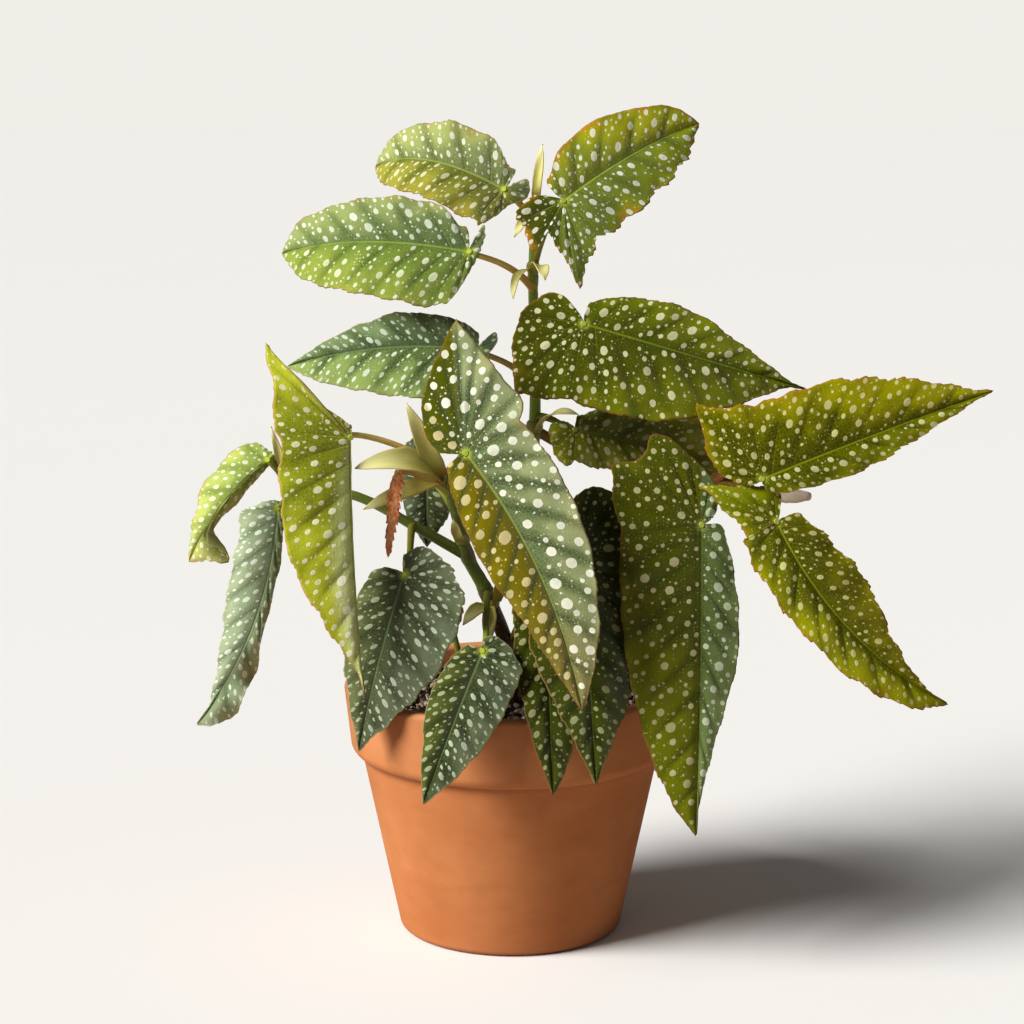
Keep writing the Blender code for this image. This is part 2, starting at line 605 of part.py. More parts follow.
def thick_sheet(name, shape, facing, thickness, skin):
    """An open grid made a solid sheet: split into triangles first, so that both faces are split alike."""
    bmesh.ops.remove_doubles(shape, verts=shape.verts, dist=MERGE)
    bmesh.ops.triangulate(shape, faces=shape.faces)
    if sum(face.normal.dot(facing) * face.calc_area() for face in shape.faces) < 0:
        bmesh.ops.reverse_faces(shape, faces=shape.faces)
    mesh = bpy.data.meshes.new(name)
    shape.to_mesh(mesh)
    shape.free()
    sheet = placed(name, mesh, skin)
    solid = sheet.modifiers.new("thickness", "SOLIDIFY")
    solid.thickness = thickness * MM
    solid.offset = -1
    applied(sheet)
    return sheet


def make_blade(name, leaf):
    """A leaf's blade, from a grid that is wrapped round the place where the stalk joins."""
    curve, length = midrib_curve(leaf)
    rows = blade_rows(leaf, length)
    shape = bmesh.new()
    bmesh.ops.create_grid(shape, x_segments=len(rows) - 1, y_segments=COLUMNS, size=1)
    for vertex in shape.verts:
        row = round((vertex.co.x + 1) / 2 * (len(rows) - 1))
        share = (vertex.co.y + 1) / 2
        inner, outer = rows[row]
        reach = share * (1 - TOOTH_DEPTH * (row % 2) * share)
        vertex.co = blade_point(leaf, curve, length, inner.lerp(outer, reach)) * MM
    return thick_sheet(name, shape, Vector(leaf["faces"]), BLADE, leaf["skin"])


def stalk_path(leaf):
    """From the cane's axis out and up, then to the underside of the blade."""
    start = Vector(leaf["stalk"])
    curve, _ = midrib_curve(leaf)
    place, run, normal, _ = curve(0)
    end = place + normal * 0.5
    reach = (end - start).length
    outward = (end - start).normalized() + Vector((0, 0, STALK_RISE))
    first = start + outward * reach * 0.4
    second = end - normal * reach * 0.3 - run * reach * 0.12
    count = max(4, round(reach / STALK_SPACING))
    path = []
    for i in range(count + 1):
        t = i / count
        near_cane = (1 - t) ** 3 * start + 3 * t * (1 - t) ** 2 * first
        path.append((near_cane + 3 * t ** 2 * (1 - t) * second + t ** 3 * end) * MM)
    return path


def make_leaves(cane_cutters):
    """Each leaf with its stalk fused in, cut clear of the canes. A wider copy of each stalk is a cutter."""
    stalk_cutters = []
    for name, leaf in LEAVES.items():
        blade = make_blade(name, leaf)
        path = stalk_path(leaf)
        radii = [STALK_RADIUS * (1 - STALK_TAPER * i / (len(path) - 1)) for i in range(len(path))]
        stalk = tube(name + "_stalk", path, radii, STALK_RESOLUTION)
        stalk_cutters.append(tube(name + "_room", path, [r + GAP for r in radii], STALK_RESOLUTION))
        combined(blade, [stalk], "UNION")
        combined(blade, [cutter for cutter in cane_cutters if touches(blade, cutter)], "DIFFERENCE")
        keep_largest(blade)
        removed([stalk])
    return stalk_cutters


def box_of(obj):
    corners = [vertex.co for vertex in obj.data.vertices]
    return [(min(c[i] for c in corners), max(c[i] for c in corners)) for i in range(3)]


def touches(first, second):
    return all(a[0] < b[1] and b[0] < a[1] for a, b in zip(box_of(first), box_of(second)))


def keep_largest(obj):
    """Drops the scraps that a cut leaves loose, and keeps the body with the most faces."""
    shape = bmesh.new()
    shape.from_mesh(obj.data)
    left, bodies = set(shape.verts), []
    while left:
        body, edge = set(), [left.pop()]
        while edge:
            vertex = edge.pop()
            body.add(vertex)
            near = [e.other_vert(vertex) for e in vertex.link_edges]
            edge += [v for v in near if v in left]
            left.difference_update(near)
        bodies.append(body)
    largest = max(bodies, key=len)
    bmesh.ops.delete(shape, geom=[v for v in shape.verts if v not in largest], context="VERTS")
    shape.to_mesh(obj.data)
    shape.free()


def bract_root(bract, centre, run, reach):
    """A point of the collar on the side that the bract leaves from, in millimetres."""
    lean = Vector(bract["tip"]) - centre
    lean -= run * lean.dot(run)
    if lean.length < 2 * reach:
        lean = Vector(bract["faces"]) - run * run.dot(Vector(bract["faces"]))
    return centre + lean.normalized() * (reach - 0.5)


def make_bract(name, bract, root, skin):
    """A thin pointed bract, arched along its length and cupped across it."""
    tip, facing = Vector(bract["tip"]), Vector(bract["faces"])
    run = (tip - root).normalized()
    up = (facing - run * facing.dot(run)).normalized()
    out = up.cross(run)
    shape = bmesh.new()
    bmesh.ops.create_grid(shape, x_segments=BRACT_ROWS, y_segments=COLUMNS, size=1)
    for vertex in shape.verts:
        t, across = (vertex.co.x + 1) / 2, vertex.co.y
        half = bract["half"] * (0.57 + 1.38 * t) * max(0.0, 1 - t) ** 0.8
        rise = bract["arch"] * 4 * t * (1 - t) + half * 0.22 * across ** 2
        vertex.co = (root.lerp(tip, t) + out * half * across + up * rise) * MM
    return thick_sheet(name, shape, facing, BRACT_BLADE, skin)


def make_bracts(cutters):
    """Each cluster is a collar round its cane with the bracts fused to it."""
    for name, cluster in BRACTS.items():
        path, radii = cane_path(cluster["cane"])
        place = Vector(cluster["at"])
        at = min(range(len(path)), key=lambda i: (path[i] / MM - place).length)
        run = (path[min(at + 1, len(path) - 1)] - path[at - 1]).normalized()
        reach = radii[at] + COLLAR_WALL
        skin = cluster.get("skin", "bract")
        half = run * COLLAR_LENGTH * MM / 2
        collar = tube(name, [path[at] - half, path[at] + half], [reach, reach], CANE_RESOLUTION, skin)
        bracts = [
            make_bract(f"{name}_{i}", bract, bract_root(bract, path[at] / MM, run, reach), skin)
            for i, bract in enumerate(cluster["blades"])
        ]
        combined(collar, bracts, "UNION")
        removed(bracts)
        combined(collar, [cutter for cutter in cutters if touches(collar, cutter)], "DIFFERENCE")
        keep_largest(collar)


def stand_on_origin():
    """Parents every piece to an empty at the pot's foot, which stands where the origin needs it."""
    foot = bpy.data.objects.new("pot_foot", None)
    foot.location.x = POT_X * MM
    pieces = list(bpy.data.collections[PARTS].objects)
    bpy.data.collections[PARTS].objects.link(foot)
    for piece in pieces:
        piece.parent = foot


def build():
    clear_scene()
    make_pot()
    cane_cutters = make_canes()
    stalk_cutters = make_leaves(cane_cutters)
    make_bracts(cane_cutters + stalk_cutters)
    make_soil([cutter for cutter in cane_cutters + stalk_cutters if stands_in_soil(cutter)])
    removed(cane_cutters + stalk_cutters)
    stand_on_origin()


build()
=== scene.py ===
import math
import random

import bmesh
import bpy
from mathutils import Euler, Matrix, Vector, kdtree, noise


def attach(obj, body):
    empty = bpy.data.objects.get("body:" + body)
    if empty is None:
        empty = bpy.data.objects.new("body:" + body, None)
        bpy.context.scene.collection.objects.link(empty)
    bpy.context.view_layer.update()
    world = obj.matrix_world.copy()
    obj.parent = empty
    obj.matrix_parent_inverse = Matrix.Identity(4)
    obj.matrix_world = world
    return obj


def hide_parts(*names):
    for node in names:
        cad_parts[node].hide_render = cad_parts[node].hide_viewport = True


# A spotted cane begonia in a clay pot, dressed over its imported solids. Numbers are millimetres from the
# pot's axis unless a line says otherwise, and every mesh ends in metres in the frame's own place.

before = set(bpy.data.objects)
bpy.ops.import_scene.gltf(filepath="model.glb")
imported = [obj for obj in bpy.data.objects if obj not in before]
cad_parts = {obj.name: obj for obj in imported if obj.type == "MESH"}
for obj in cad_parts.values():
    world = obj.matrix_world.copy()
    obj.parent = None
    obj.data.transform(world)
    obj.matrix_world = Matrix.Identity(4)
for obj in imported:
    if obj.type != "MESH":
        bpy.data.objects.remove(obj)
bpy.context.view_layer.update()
mm = 0.001
potAxisX = -33.0  # where the pot's axis stands from the origin
mergeTube, mergeSheet = 0.002, 0.01  # points this close become one where a tube or a sheet closes
outlineStep = 0.35  # between the points of a flat outline while it is measured
print("frame loaded:", len(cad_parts), "solids")


# Shader sums


class Wire:  # a node socket that takes part in plain sums
    def __init__(self, tree, socket=None):
        self.tree, self.socket = tree, socket

    def node(self, kind, settings, values, output=0):
        made = self.tree.nodes.new(kind)
        for name, value in settings.items():
            if name != "stops":
                setattr(made, name, value)
                continue
            ramp = made.color_ramp.elements
            while len(ramp) < len(value):
                ramp.new(0.5)
            for element, (place, colour) in zip(ramp, value):
                element.position, element.color = place, (*colour, 1.0)
        for key, value in values.items():
            if isinstance(value, Wire):
                self.tree.links.new(value.socket, made.inputs[key])
            else:
                made.inputs[key].default_value = value
        return Wire(self.tree, made.outputs[output])

    def also(self, output):  # another output of the same node
        return Wire(self.tree, self.socket.node.outputs[output])

    def maths(self, operation, *values):
        return self.node("ShaderNodeMath", {"operation": operation}, dict(enumerate(values)))

    def __add__(self, other):
        return self.maths("ADD", self, other)

    def __sub__(self, other):
        return self.maths("SUBTRACT", self, other)

    def __rsub__(self, other):
        return self.maths("SUBTRACT", other, self)

    def __mul__(self, other):
        return self.maths("MULTIPLY", self, other)

    def __truediv__(self, other):
        return self.maths("DIVIDE", self, other)

    __radd__, __rmul__ = __add__, __mul__

    def size(self):
        return self.maths("ABSOLUTE", self)

    def sine(self):
        return self.maths("SINE", self)

    def capped(self):
        return self.maths("MINIMUM", self.maths("MAXIMUM", self, 0.0), 1.0)

    def rise(self, low, high):  # 0 below low, 1 above high, smooth between
        smooth = {"interpolation_type": "SMOOTHSTEP"}
        return self.node("ShaderNodeMapRange", smooth, {0: self, 1: low, 2: high})

    def fall(self, low, high):
        return 1 - self.rise(low, high)

    def tint(self, first, second):  # this share of the second colour over the first
        def colour(value):
            return value if isinstance(value, Wire) else (*value, 1.0)
        return self.node(
            "ShaderNodeMix", {"data_type": "RGBA"}, {0: self, 6: colour(first), 7: colour(second)}, 2
        )

    def moved(self, by, scale=(1, 1, 1)):
        return self.node("ShaderNodeMapping", {}, {"Vector": self, "Location": by, "Scale": scale})

    def grain(self, perMm, detail=2.0, rough=0.5):  # noise of this many lumps a millimetre, 0 to 1
        return self.node(
            "ShaderNodeTexNoise", {}, {"Vector": self, "Scale": perMm, "Detail": detail, "Roughness": rough}
        )


def startMaterial(name):
    made = bpy.data.materials.new(name)
    made.use_nodes = True
    tree = made.node_tree
    return made, tree.nodes["Principled BSDF"], Wire(tree)


def feed(shader, wires):
    for name, wire in wires.items():
        wire.tree.links.new(wire.socket, shader.inputs[name])


def uvMap(wire, name):
    return wire.node("ShaderNodeUVMap", {"uv_map": name}, {})


def parts(wire):
    x = wire.node("ShaderNodeSeparateXYZ", {}, {0: wire})
    return x, x.also(1), x.also(2)


def objectPlace(wire):  # object coordinates in millimetres
    place = wire.node("ShaderNodeTexCoord", {}, {}, "Object")
    return place.node("ShaderNodeVectorMath", {"operation": "SCALE"}, {0: place, "Scale": 1 / mm})


def distance(x, y):
    total = x * x + y * y
    return total.maths("SQRT", total)


def finishSkin(shader, colour, roughness, height, depth, strength=1.0):  # depth: mm for a height of 1
    relief = height.node(
        "ShaderNodeBump", {}, {"Height": height, "Distance": depth * mm, "Strength": strength}
    )
    feed(shader, {"Base Color": colour, "Roughness": roughness, "Normal": relief})


# Mesh helpers


def linkedObject(name, data):
    made = bpy.data.objects.new(name, data)
    bpy.context.scene.collection.objects.link(made)
    return made


def finishedPiece(name, bm, materials, node, sharp=50):
    bmesh.ops.translate(bm, verts=bm.verts, vec=(potAxisX * mm, 0, 0))
    mesh = bpy.data.meshes.new(name)
    bm.to_mesh(mesh)
    bm.free()
    for material in materials:
        mesh.materials.append(material)
    mesh.shade_smooth()
    mesh.set_sharp_from_angle(angle=math.radians(sharp))
    piece = linkedObject(name, mesh)
    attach(piece, "root")
    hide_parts(node)
    return piece


def sheetGrid(rowCount, columnCount):  # a flat grid, and the (row, column) of each of its points
    bm = bmesh.new()
    bmesh.ops.create_grid(bm, x_segments=rowCount - 1, y_segments=columnCount, size=1)
    bm.verts.index_update()
    cells = [
        (round((v.co.x + 1) / 2 * (rowCount - 1)), round((v.co.y + 1) / 2 * columnCount)) for v in bm.verts
    ]
    return bm, cells


def layMaps(bm, maps):  # each map: a name and one (u, v) for each point
    for name, values in maps.items():
        layer = bm.loops.layers.uv.new(name)
        for face in bm.faces:
            for loop in face.loops:
                loop[layer].uv = values[loop.vert.index]


def closeSheet(bm, facing):  # joins a folded sheet's doubled points and turns its upper side this way
    bmesh.ops.remove_doubles(bm, verts=bm.verts, dist=mergeSheet * mm)
    if sum(face.normal.dot(facing) * face.calc_area() for face in bm.faces) < 0:
        bmesh.ops.reverse_faces(bm, faces=bm.faces)


def thicken(piece, thickness, underside=1):  # below the sheet, with the material that many slots on
    solid = piece.modifiers.new("thickness", "SOLIDIFY")
    solid.thickness, solid.offset = thickness * mm, -1.0
    solid.material_offset = underside


def smoothPath(points, spacing):  # points about this far apart on a smooth curve through the given ones
    ends = [points[0] * 2 - points[1], *points, points[-1] * 2 - points[-2]]
    path = []
    for before, start, end, after in zip(ends, ends[1:], ends[2:], ends[3:]):
        steps = max(1, round((end - start).length / spacing))
        for step in range(steps):
            f = step / steps
            path.append(
                0.5 * (2 * start + (end - before) * f
                       + (2 * before - 5 * start + 4 * end - after) * f ** 2
                       + (3 * start - before - 3 * end + after) * f ** 3)
            )
    return [*path, points[-1].copy()]


def pathLengths(path):
    lengths = [0.0]
    for a, b in zip(path, path[1:]):
        lengths.append(lengths[-1] + (b - a).length)
    return lengths


def spread(points, steps):  # even steps along a smooth curve through flat points, both ends included
    flat = smoothPath([p.to_3d() for p in points], outlineStep)
    lengths = pathLengths(flat)
    found, at = [], 0
    for i in range(steps + 1):
        wanted = lengths[-1] * i / steps
        while at < len(flat) - 2 and lengths[at + 1] < wanted:
            at += 1
        share = (wanted - lengths[at]) / max(1e-9, lengths[at + 1] - lengths[at])
        found.append(flat[at].lerp(flat[at + 1], min(1.0, share)).to_2d())
    return found


def spreadLength(points):
    return pathLengths(smoothPath([p.to_3d() for p in points], outlineStep))[-1]


def tubeMesh(path, radii, sides, relief=None):
    # a grid wrapped round the path and closed at both ends. Its map is (mm along, share round)
    bm, cells = sheetGrid(len(path), sides)
    lengths = pathLengths(path)
    runs = [
        (path[min(i + 1, len(path) - 1)] - path[max(i - 1, 0)]).normalized() for i in range(len(path))
    ]
    outs = [runs[0].orthogonal().normalized()]
    for run in runs[1:]:
        outs.append((outs[-1] - run * run.dot(outs[-1])).normalized())
    for vertex, (row, column) in zip(bm.verts, cells):
        turn = math.tau * column / sides
        out = outs[row] * math.cos(turn) + runs[row].cross(outs[row]) * math.sin(turn)
        radius = radii[row] + (relief(path[row] + out * radii[row], lengths[row]) if relief else 0)
        vertex.co = (path[row] + out * radius) * mm
    layMaps(bm, {"stem": [(lengths[row], column / sides) for row, column in cells]})
    bmesh.ops.remove_doubles(bm, verts=bm.verts, dist=mergeTube * mm)
    bmesh.ops.holes_fill(bm, edges=[e for e in bm.edges if e.is_boundary], sides=sides + 1)
    bmesh.ops.recalc_face_normals(bm, faces=bm.faces)
    return bm


# Leaves

leafRules = {
    "blade": 0.5, "rowSpacing": 0.8, "columns": 20,
    "toothPitch": 4.3, "toothDepth": 1.25, "lobePitch": 17.0, "lobeDepth": 1.5,
    "edgeWave": 1.1, "waveLength": 24.0, "edgeDroop": 0.09, "wingLean": 0.16,
    "veinPitch": 15.0, "pleat": 0.8, "dimple": 0.35, "midribGroove": 0.6,
    "ribBunching": 1.55, "edgeBunching": 0.85, "mostDrawn": 0.4,
    "veinReach": 9.0, "pleatReach": 4.0, "pleatEnds": 1.1, "grooveHalf": 2.2, "dimpleLump": 6.0,
    "tipOpens": (0.86, 0.12), "stalkRadius": 1.6, "stalkTaper": 0.25, "stalkRise": 0.45, "stalkSides": 14,
    "stalkSpacing": 1.6, "stalkLift": 0.35, "stalkLeaves": 0.4, "stalkArrives": (0.3, 0.12),
    "footFlare": (0.35, 5.0), "topFlare": (0.3, 3.0), "stalkEnd": 0.72,
}
# Outline: wingAt and narrowAt are shares of the midrib from the tip to the joint. The width there is wingLow
# or narrowLow for the last two, and for the first two a plain leaf's share and what a full one has more,
# with the least one before them near the tip. The rest turns and shortens the base, in degrees and shares.
outlineRules = {
    "wingAt": (0.9, 0.72, 0.45, 0.18), "narrowAt": (0.9, 0.72, 0.42, 0.16),
    "wingLow": (0.9, 1.0), "narrowLow": (1.0, 0.9),
    "nearTip": (0.07, 0.19, 0.36), "nextToIt": (0.55, 0.27),
    "mostTurn": 88.0, "turnBefore": 10, "wingReach": 0.98, "notchBeyond": 8, "notchReach": 0.5,
    "mostSmallTurn": 104.0, "smallGap": 16, "smallShoulder": 24, "smallBack": ((0.5, 8), (0.22, 0)),
}
marginRules = {
    "wobbleLump": 11.0, "wobble": 0.9, "lobeWobble": 0.35, "toothRise": 0.22, "leastTeeth": 0.2,
    "fadeReach": 8.0, "fadeLump": 17.0, "fade": (0.65, 0.7), "lobeReach": 20, "edgePower": 6,
}
jointColour = (0.42, 0.52, 0.06)

# Colours are linear. Wing and narrow are the two halves, each with the colours of its heart, of its rim
# and of its spots. The grey, teal and pale halves (the narrow ones of tawny, fresh, deep and yellow, the
# wings of moss and centre, and both halves of sage, teal and grey) also hold a painted sheen, grey-blue
# gloss painted into their colours. Warm is how much of the margin turns warmColour. Spots are the radii
# of the large and middling ones and how many radii the large ones stand apart, and stretch is how long
# they are. Lobe is the colour behind the joint, or on the far side of a line at lobeFrom degrees, and tip
# that of the tip. Ridge is how far the narrow half's colour, painted sheen and all, reaches over the
# midrib and blend how softly, tan how far the tip dries, tipLift how much it brightens, and furrow and
# midrib how plainly the veins show, furrow through painted shade in the creases along the side veins and
# a painted highlight on the ridges between them.
lookDefaults = dict(
    ridge=0.0, blend=0.8, furrow=1.0, midrib=0.85, tipLift=0.6, tan=0.0, gloss=0.3, joint=jointColour
)
leafLooks = {
    "green": dict(
        slot="green_leaf", wing=((0.12, 0.16, 0.025), (0.2, 0.25, 0.008), (0.7, 0.75, 0.66)),
        narrow=((0.17, 0.21, 0.025), (0.29, 0.3, 0.007), (0.72, 0.76, 0.6)), warm=1.0,
        warmColour=(0.5, 0.2, 0.01), spots=(2.0, 0.9, 4.5), stretch=1.6, vein=(0.3, 0.42, 0.05),
        margin=(0.33, 0.11, 0.03), lobe=(0.06, 0.072, 0.003), tan=0.6, lobeFrom=130, furrow=0.7,
        tipLift=1.0, gloss=0.14,
    ),
    "tawny": dict(
        slot="green_leaf", wing=((0.13, 0.155, 0.02), (0.32, 0.31, 0.035), (0.68, 0.68, 0.46)),
        narrow=((0.16, 0.21, 0.075), (0.34, 0.39, 0.12), (0.7, 0.75, 0.6)), warm=0.6,
        warmColour=(0.42, 0.24, 0.03), spots=(1.45, 0.75, 3.8), stretch=1.9, vein=(0.32, 0.42, 0.1),
        margin=(0.36, 0.2, 0.06),
    ),
    "fresh": dict(
        slot="green_leaf", wing=((0.12, 0.19, 0.03), (0.26, 0.34, 0.05), (0.7, 0.76, 0.54)),
        narrow=((0.1, 0.16, 0.055), (0.27, 0.34, 0.11), (0.7, 0.76, 0.62)), warm=0.3,
        warmColour=(0.5, 0.36, 0.06), spots=(1.75, 0.85, 3.9), stretch=1.5, vein=(0.26, 0.4, 0.08),
        margin=(0.36, 0.2, 0.06), furrow=0.8,
    ),
    "lime": dict(
        slot="fresh_leaf", wing=((0.27, 0.37, 0.07), (0.46, 0.54, 0.13), (0.8, 0.85, 0.64)),
        narrow=((0.26, 0.34, 0.05), (0.44, 0.46, 0.12), (0.76, 0.8, 0.58)), warm=0.3,
        warmColour=(0.5, 0.36, 0.06), spots=(1.3, 0.8, 3.4), stretch=1.4, vein=(0.34, 0.46, 0.1),
        margin=(0.4, 0.26, 0.1), tan=1.0,
    ),
    "sage": dict(
        slot="teal_leaf", wing=((0.075, 0.12, 0.035), (0.27, 0.37, 0.1), (0.7, 0.77, 0.6)),
        narrow=((0.07, 0.11, 0.045), (0.17, 0.24, 0.1), (0.6, 0.68, 0.54)), warm=0.1,
        warmColour=(0.26, 0.3, 0.05), spots=(1.45, 0.8, 3.2), stretch=2.0, vein=(0.16, 0.24, 0.09),
        margin=(0.36, 0.32, 0.16),
    ),
    "teal": dict(
        slot="teal_leaf", wing=((0.05, 0.065, 0.026), (0.125, 0.155, 0.085), (0.46, 0.52, 0.4)),
        narrow=((0.04, 0.055, 0.017), (0.12, 0.145, 0.055), (0.42, 0.46, 0.32)), warm=0.05,
        warmColour=(0.16, 0.14, 0.04), spots=(1.4, 0.8, 2.9), stretch=2.1, vein=(0.13, 0.18, 0.08),
        margin=(0.3, 0.27, 0.14), tipLift=0.0,
    ),
    "moss": dict(
        slot="teal_leaf", wing=((0.028, 0.042, 0.01), (0.12, 0.15, 0.075), (0.46, 0.52, 0.38)),
        narrow=((0.034, 0.05, 0.006), (0.085, 0.105, 0.02), (0.42, 0.46, 0.28)), warm=0.1,
        warmColour=(0.16, 0.14, 0.03), spots=(1.5, 0.8, 3.1), stretch=1.9, vein=(0.13, 0.18, 0.06),
        margin=(0.3, 0.25, 0.1), tipLift=0.0,
    ),
    "deep": dict(
        slot="deep_leaf", wing=((0.051, 0.061, 0.0005), (0.138, 0.16, 0.002), (0.54, 0.52, 0.28)),
        narrow=((0.075, 0.112, 0.028), (0.15, 0.21, 0.07), (0.54, 0.6, 0.44)), warm=0.2,
        warmColour=(0.2, 0.17, 0.008), spots=(1.95, 1.05, 4.3), stretch=1.12, vein=(0.09, 0.12, 0.02),
        margin=(0.2, 0.09, 0.03), gloss=0.1, furrow=0.6, midrib=0.55, joint=(0.28, 0.28, 0.07), tipLift=1.7,
    ),
    # shade: the leaf green darkened to the shadow that the low leaves hang in, a painted shade
    "shade": dict(
        slot="deep_leaf", wing=((0.02, 0.026, 0.001), (0.038, 0.048, 0.003), (0.27, 0.27, 0.14)),
        narrow=((0.02, 0.028, 0.001), (0.04, 0.05, 0.004), (0.27, 0.28, 0.15)), warm=0.1,
        warmColour=(0.1, 0.08, 0.004), spots=(1.9, 1.0, 3.9), stretch=1.4, vein=(0.06, 0.08, 0.01),
        margin=(0.2, 0.13, 0.04), gloss=0.2, joint=(0.16, 0.17, 0.03),
    ),
    "bright": dict(
        slot="green_leaf", wing=((0.04, 0.05, 0.002), (0.12, 0.14, 0.002), (0.56, 0.55, 0.33)),
        narrow=((0.05, 0.065, 0.002), (0.13, 0.155, 0.002), (0.56, 0.56, 0.34)), warm=0.35,
        warmColour=(0.26, 0.2, 0.006), spots=(1.9, 1.0, 3.9), stretch=1.3, vein=(0.15, 0.2, 0.012),
        margin=(0.22, 0.07, 0.02), lobe=(0.045, 0.052, 0.002), furrow=0.6, joint=(0.34, 0.38, 0.05),
        gloss=0.14,
    ),
    "dark": dict(
        slot="deep_leaf", wing=((0.11, 0.12, 0.004), (0.24, 0.245, 0.01), (0.46, 0.46, 0.25)),
        narrow=((0.09, 0.115, 0.011), (0.21, 0.24, 0.04), (0.44, 0.46, 0.28)), warm=0.1,
        warmColour=(0.16, 0.1, 0.008), spots=(1.6, 0.9, 3.5), stretch=1.7, vein=(0.12, 0.15, 0.03),
        margin=(0.26, 0.17, 0.06), gloss=0.2, joint=(0.2, 0.2, 0.05),
    ),
    "olive": dict(
        slot="olive_leaf", wing=((0.04, 0.047, 0.0005), (0.225, 0.22, 0.001), (0.55, 0.53, 0.24)),
        narrow=((0.045, 0.058, 0.0005), (0.19, 0.2, 0.001), (0.52, 0.54, 0.28)), warm=0.5,
        warmColour=(0.28, 0.15, 0.004), spots=(1.75, 1.0, 3.9), stretch=1.35, vein=(0.2, 0.22, 0.008),
        margin=(0.3, 0.08, 0.02), furrow=0.25, joint=(0.32, 0.34, 0.03), gloss=0.08,
    ),
    "centre": dict(
        slot="olive_leaf", wing=((0.085, 0.125, 0.042), (0.28, 0.32, 0.15), (0.78, 0.8, 0.66)),
        narrow=((0.115, 0.095, 0.001), (0.155, 0.128, 0.001), (0.6, 0.52, 0.26)), warm=0.4,
        warmColour=(0.3, 0.2, 0.02), spots=(2.75, 1.5, 3.5), stretch=1.15, vein=(0.24, 0.3, 0.05),
        margin=(0.22, 0.08, 0.03), lobe=(0.064, 0.075, 0.001), lobeFrom=147, gloss=0.25, tipLift=-0.2,
        tip=(0.185, 0.15, 0.04), furrow=1.5,
    ),
    "yellow": dict(
        slot="fresh_leaf", wing=((0.16, 0.19, 0.007), (0.43, 0.475, 0.023), (0.78, 0.79, 0.52)),
        narrow=((0.43, 0.53, 0.16), (0.57, 0.64, 0.28), (0.86, 0.88, 0.72)), warm=0.2,
        warmColour=(0.42, 0.3, 0.05), spots=(2.0, 1.0, 3.5), stretch=1.4, vein=(0.45, 0.52, 0.06),
        margin=(0.5, 0.24, 0.1), ridge=9.0, blend=4.0, furrow=0.55, tipLift=1.3, lobe=(0.48, 0.53, 0.03),
        gloss=0.14,
    ),
    "golden": dict(
        slot="fresh_leaf", wing=((0.062, 0.07, 0.0005), (0.265, 0.272, 0.001), (0.57, 0.56, 0.24)),
        narrow=((0.052, 0.057, 0.0005), (0.2, 0.19, 0.001), (0.55, 0.52, 0.22)), warm=0.4,
        warmColour=(0.3, 0.14, 0.005), spots=(1.45, 0.85, 3.9), stretch=1.5, vein=(0.22, 0.24, 0.012),
        margin=(0.3, 0.08, 0.02), furrow=0.25, joint=(0.32, 0.34, 0.03), gloss=0.08,
        lobe=(0.2, 0.24, 0.002),
    ),
    "grey": dict(
        slot="teal_leaf", wing=((0.22, 0.3, 0.17), (0.38, 0.46, 0.28), (0.8, 0.86, 0.74)),
        narrow=((0.18, 0.25, 0.12), (0.32, 0.4, 0.22), (0.76, 0.82, 0.68)), warm=0.1,
        warmColour=(0.3, 0.3, 0.14), spots=(1.25, 0.75, 2.9), stretch=1.8, vein=(0.28, 0.38, 0.2),
        margin=(0.5, 0.46, 0.32), tipLift=0.1,
    ),
}

